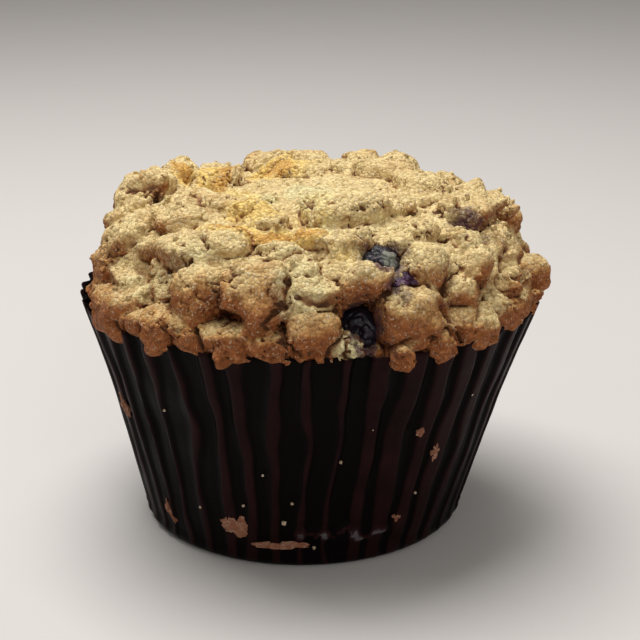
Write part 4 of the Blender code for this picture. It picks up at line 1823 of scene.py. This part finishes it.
SMEARS = (
    Smear("stuck_crumb_left", -64.0, 26.8, 2.4, 4.6, 12.0),
    Smear("stuck_crumb_low_left", -50.4, 6.9, 1.5, 4.2, 20.0),
    Smear("stuck_crumb_base_front", -22.0, 8.5, 5.2, 4.4),
    Smear("stuck_crumb_base_strip", -7.0, 5.2, 8.4, 1.4),
    Smear("stuck_crumb_right_upper", 31.8, 28.1, 1.5, 2.1),
    Smear("stuck_crumb_right", 39.3, 22.5, 1.8, 3.3),
    Smear("stuck_crumb_low_right", 31.0, 9.4, 1.5, 1.6),
)
# The tiny specks: bearing in degrees, height and radius in millimetres
SPECKS = (
    (-34.3, 11.1, 0.33),
    (-18.6, 13.6, 0.28),
    (-6.0, 10.4, 0.45),
    (-3.6, 15.0, 0.30),
    (3.8, 4.8, 0.32),
    (-41.0, 31.0, 0.28),
    (9.5, 24.0, 0.30),
    (17.0, 30.5, 0.26),
    (-12.0, 21.0, 0.24),
    (48.0, 33.0, 0.40),
    (36.0, 14.0, 0.26),
)


@dataclass(frozen=True)
class SmearFinish:
    """Batter and jam that dried on the paper."""

    name: str = "dried_crumb"
    colour: Colour = (0.23, 0.078, 0.036)
    pale: Colour = (0.36, 0.20, 0.125)

    def material(self) -> bpy.types.Material:
        """Builds the material.

        Returns:
            The material.
        """
        look = Finish(self.name, Metallic=0.0, IOR=1.45)
        where = look.place()
        patch = look.speckle(where, 1.3 * MM, 3.0, 0.6)
        fine = look.speckle(where, 0.35 * MM, 2.0, 0.6)
        look.set("Base Color", look.mix((patch + (fine - 0.5) * 0.5).ramp(0.42, 0.72), self.colour, self.pale))
        look.set("Roughness", fine * 0.4 + 0.45)
        look.bump(fine + patch, 0.25 * MM)
        return look.material


@dataclass
class StuckCrumbs:
    """The crumbs on the cup's outside: one piece for each that the model has, and the tiny specks around them."""

    cup: CupForm
    proud: float = -0.30 * MM

    def build(self) -> None:
        """Builds every stuck crumb and the specks."""
        finish = SmearFinish().material()
        for number, smear in enumerate(SMEARS):
            self.smear(smear, number, finish)
        self.dust(SmearFinish("pale_speck", (0.42, 0.30, 0.19), (0.62, 0.52, 0.38)).material())

    def smear(self, smear: Smear, number: int, finish: bpy.types.Material) -> None:
        """Builds one flattened, ragged crumb.

        Args:
            smear: The crumb's place and size.
            number: What makes its ragged edge its own.
            finish: Its material.
        """
        points, faces = unit_ball(5)
        shift = (number * 5.3, number * 2.9, 8.0)
        ragged = 1.0 + 0.55 * noise_at(points, 1.4, shift) + 0.30 * noise_at(points, 3.5, shift)
        local = points * ragged[:, None] * (np.array((smear.width, smear.length, smear.thickness)) * MM / 2)
        local[:, 2] += smooth_step(points[:, 2]) * 0.22 * MM * noise_at(points, 7.0, shift)
        stand = self.cup.stand(smear.bearing, smear.height * MM, self.proud)
        rows = in_frame(local, stand @ Matrix.Rotation(math.radians(smear.turn), 4, "Z"))
        mesh = new_mesh(smear.node, rows.tolist(), faces.tolist(), finish)
        hand_over(add_object(f"dried_{smear.node}", mesh), "crumb", smear.node)

    def dust(self, finish: bpy.types.Material) -> None:
        """Builds the tiny specks that cling to the paper.

        Args:
            finish: The specks' material.
        """
        ball, faces = unit_ball(2)
        rows, polygons = [], []
        for number, (bearing, height, size) in enumerate(SPECKS):
            stand = self.cup.stand(bearing, height * MM, -0.35 * size * MM)
            knobs = 1.0 + 0.5 * noise_at(ball, 1.5, (number * 1.7, 0.0, 3.0))
            rows.append(in_frame(ball * knobs[:, None] * size * MM, stand))
            polygons.append(faces + number * len(ball))
        mesh = new_mesh("paper_specks", np.concatenate(rows).tolist(), np.concatenate(polygons).tolist(), finish)
        hand_over(add_object("paper_specks", mesh), "crumb")


# ---- The studio ----


@dataclass(frozen=True)
class SoftLight:
    """A soft square light: where it hangs, what it faces and its side, in metres, and its power in watts."""

    name: str
    place: Triple
    target: Triple
    side: float
    power: float

    def hang(self) -> None:
        """Hangs the light."""
        panel = bpy.data.lights.new(self.name, "AREA")
        panel.size = self.side
        panel.energy = self.power
        light = bpy.data.objects.new(self.name, panel)
        light.location = self.place
        light.rotation_euler = (Vector(self.target) - Vector(self.place)).to_track_quat("-Z", "Y").to_euler()
        bpy.context.scene.collection.objects.link(light)


LIGHTS = (
    SoftLight("overhead", (-0.10, 0.10, 0.62), (0.0, 0.0, 0.05), 0.45, 4.6),
    SoftLight("front fill", (0.25, -0.75, 0.45), (0.0, 0.0, 0.04), 0.40, 1.6),
)


@dataclass
class Studio:
    """A plain pale floor, soft lights from above and in front, and the camera."""

    floor_size: float = 8.0
    camera_place: Triple = (0.00343, -0.300, 0.13967)
    camera_pitch: float = 18.695
    lens: float = 90.855
    world: Colour = (1.0, 0.97, 0.93)
    world_strength: float = 0.26

    def build(self) -> None:
        """Sets the studio up."""
        self.lay_floor()
        self.light_world()
        for light in LIGHTS:
            light.hang()
        self.place_camera()
        settings = bpy.context.scene.view_settings
        settings.view_transform = "Standard"
        settings.look = "None"

    def lay_floor(self) -> None:
        """Lays the floor under the muffin."""
        half = self.floor_size / 2
        corners = [(-half, -half, 0.0), (half, -half, 0.0), (half, half, 0.0), (-half, half, 0.0)]
        mesh = new_mesh("pale_floor", corners, [[0, 1, 2, 3]], FloorFinish().material())
        add_object("pale_floor", mesh)

    def light_world(self) -> None:
        """Gives the room its even light."""
        world = bpy.data.worlds.new("studio")
        world.use_nodes = True
        graph = Graph(world.node_tree)
        inputs = {"Color": self.world, "Strength": self.world_strength}
        background = graph.node("ShaderNodeBackground", {}, inputs).out("Background")
        graph.node("ShaderNodeOutputWorld", {}, {"Surface": background})
        bpy.context.scene.world = world

    def place_camera(self) -> None:
        """Sets up the camera that the muffin is shown through."""
        data = bpy.data.cameras.new("portrait")
        data.lens = self.lens
        data.sensor_width = 36.0
        data.clip_start = 0.01
        data.clip_end = 20.0
        camera = bpy.data.objects.new("portrait", data)
        camera.location = self.camera_place
        camera.rotation_euler = (math.radians(90.0 - self.camera_pitch), 0.0, 0.0)
        bpy.context.scene.collection.objects.link(camera)
        bpy.context.scene.camera = camera


def main() -> None:
    """Builds the muffin, its cup, its berries and the studio."""
    logging.basicConfig(level=logging.INFO, format="%(name)s: %(message)s")
    cup = CupForm.from_frame()
    crust = CrustForm(cup)
    Muffin(cup, crust).build()
    PaperCup(cup).build()
    skin, flesh = BerryFinish().material(), FleshFinish().material()
    upper = crust.stand(20.5, 29.8, -3.2 * MM)
    burst = Berry("burst_blueberry", "blueberry_upper", upper, 3.9 * MM, 3, haze=0.05, burst=TORN_FLESH)
    front = crust.stand(14.0, 9.0, -6.6 * MM)
    sunken = Berry("sunken_blueberry", "blueberry_front", front, 5.0 * MM, 8, dusty=-0.3, haze=-0.9)
    for berry in (burst, sunken):
        berry.build(skin, flesh)
    StuckCrumbs(cup).build()
    Studio().build()


if __name__ == "__main__":
    main()
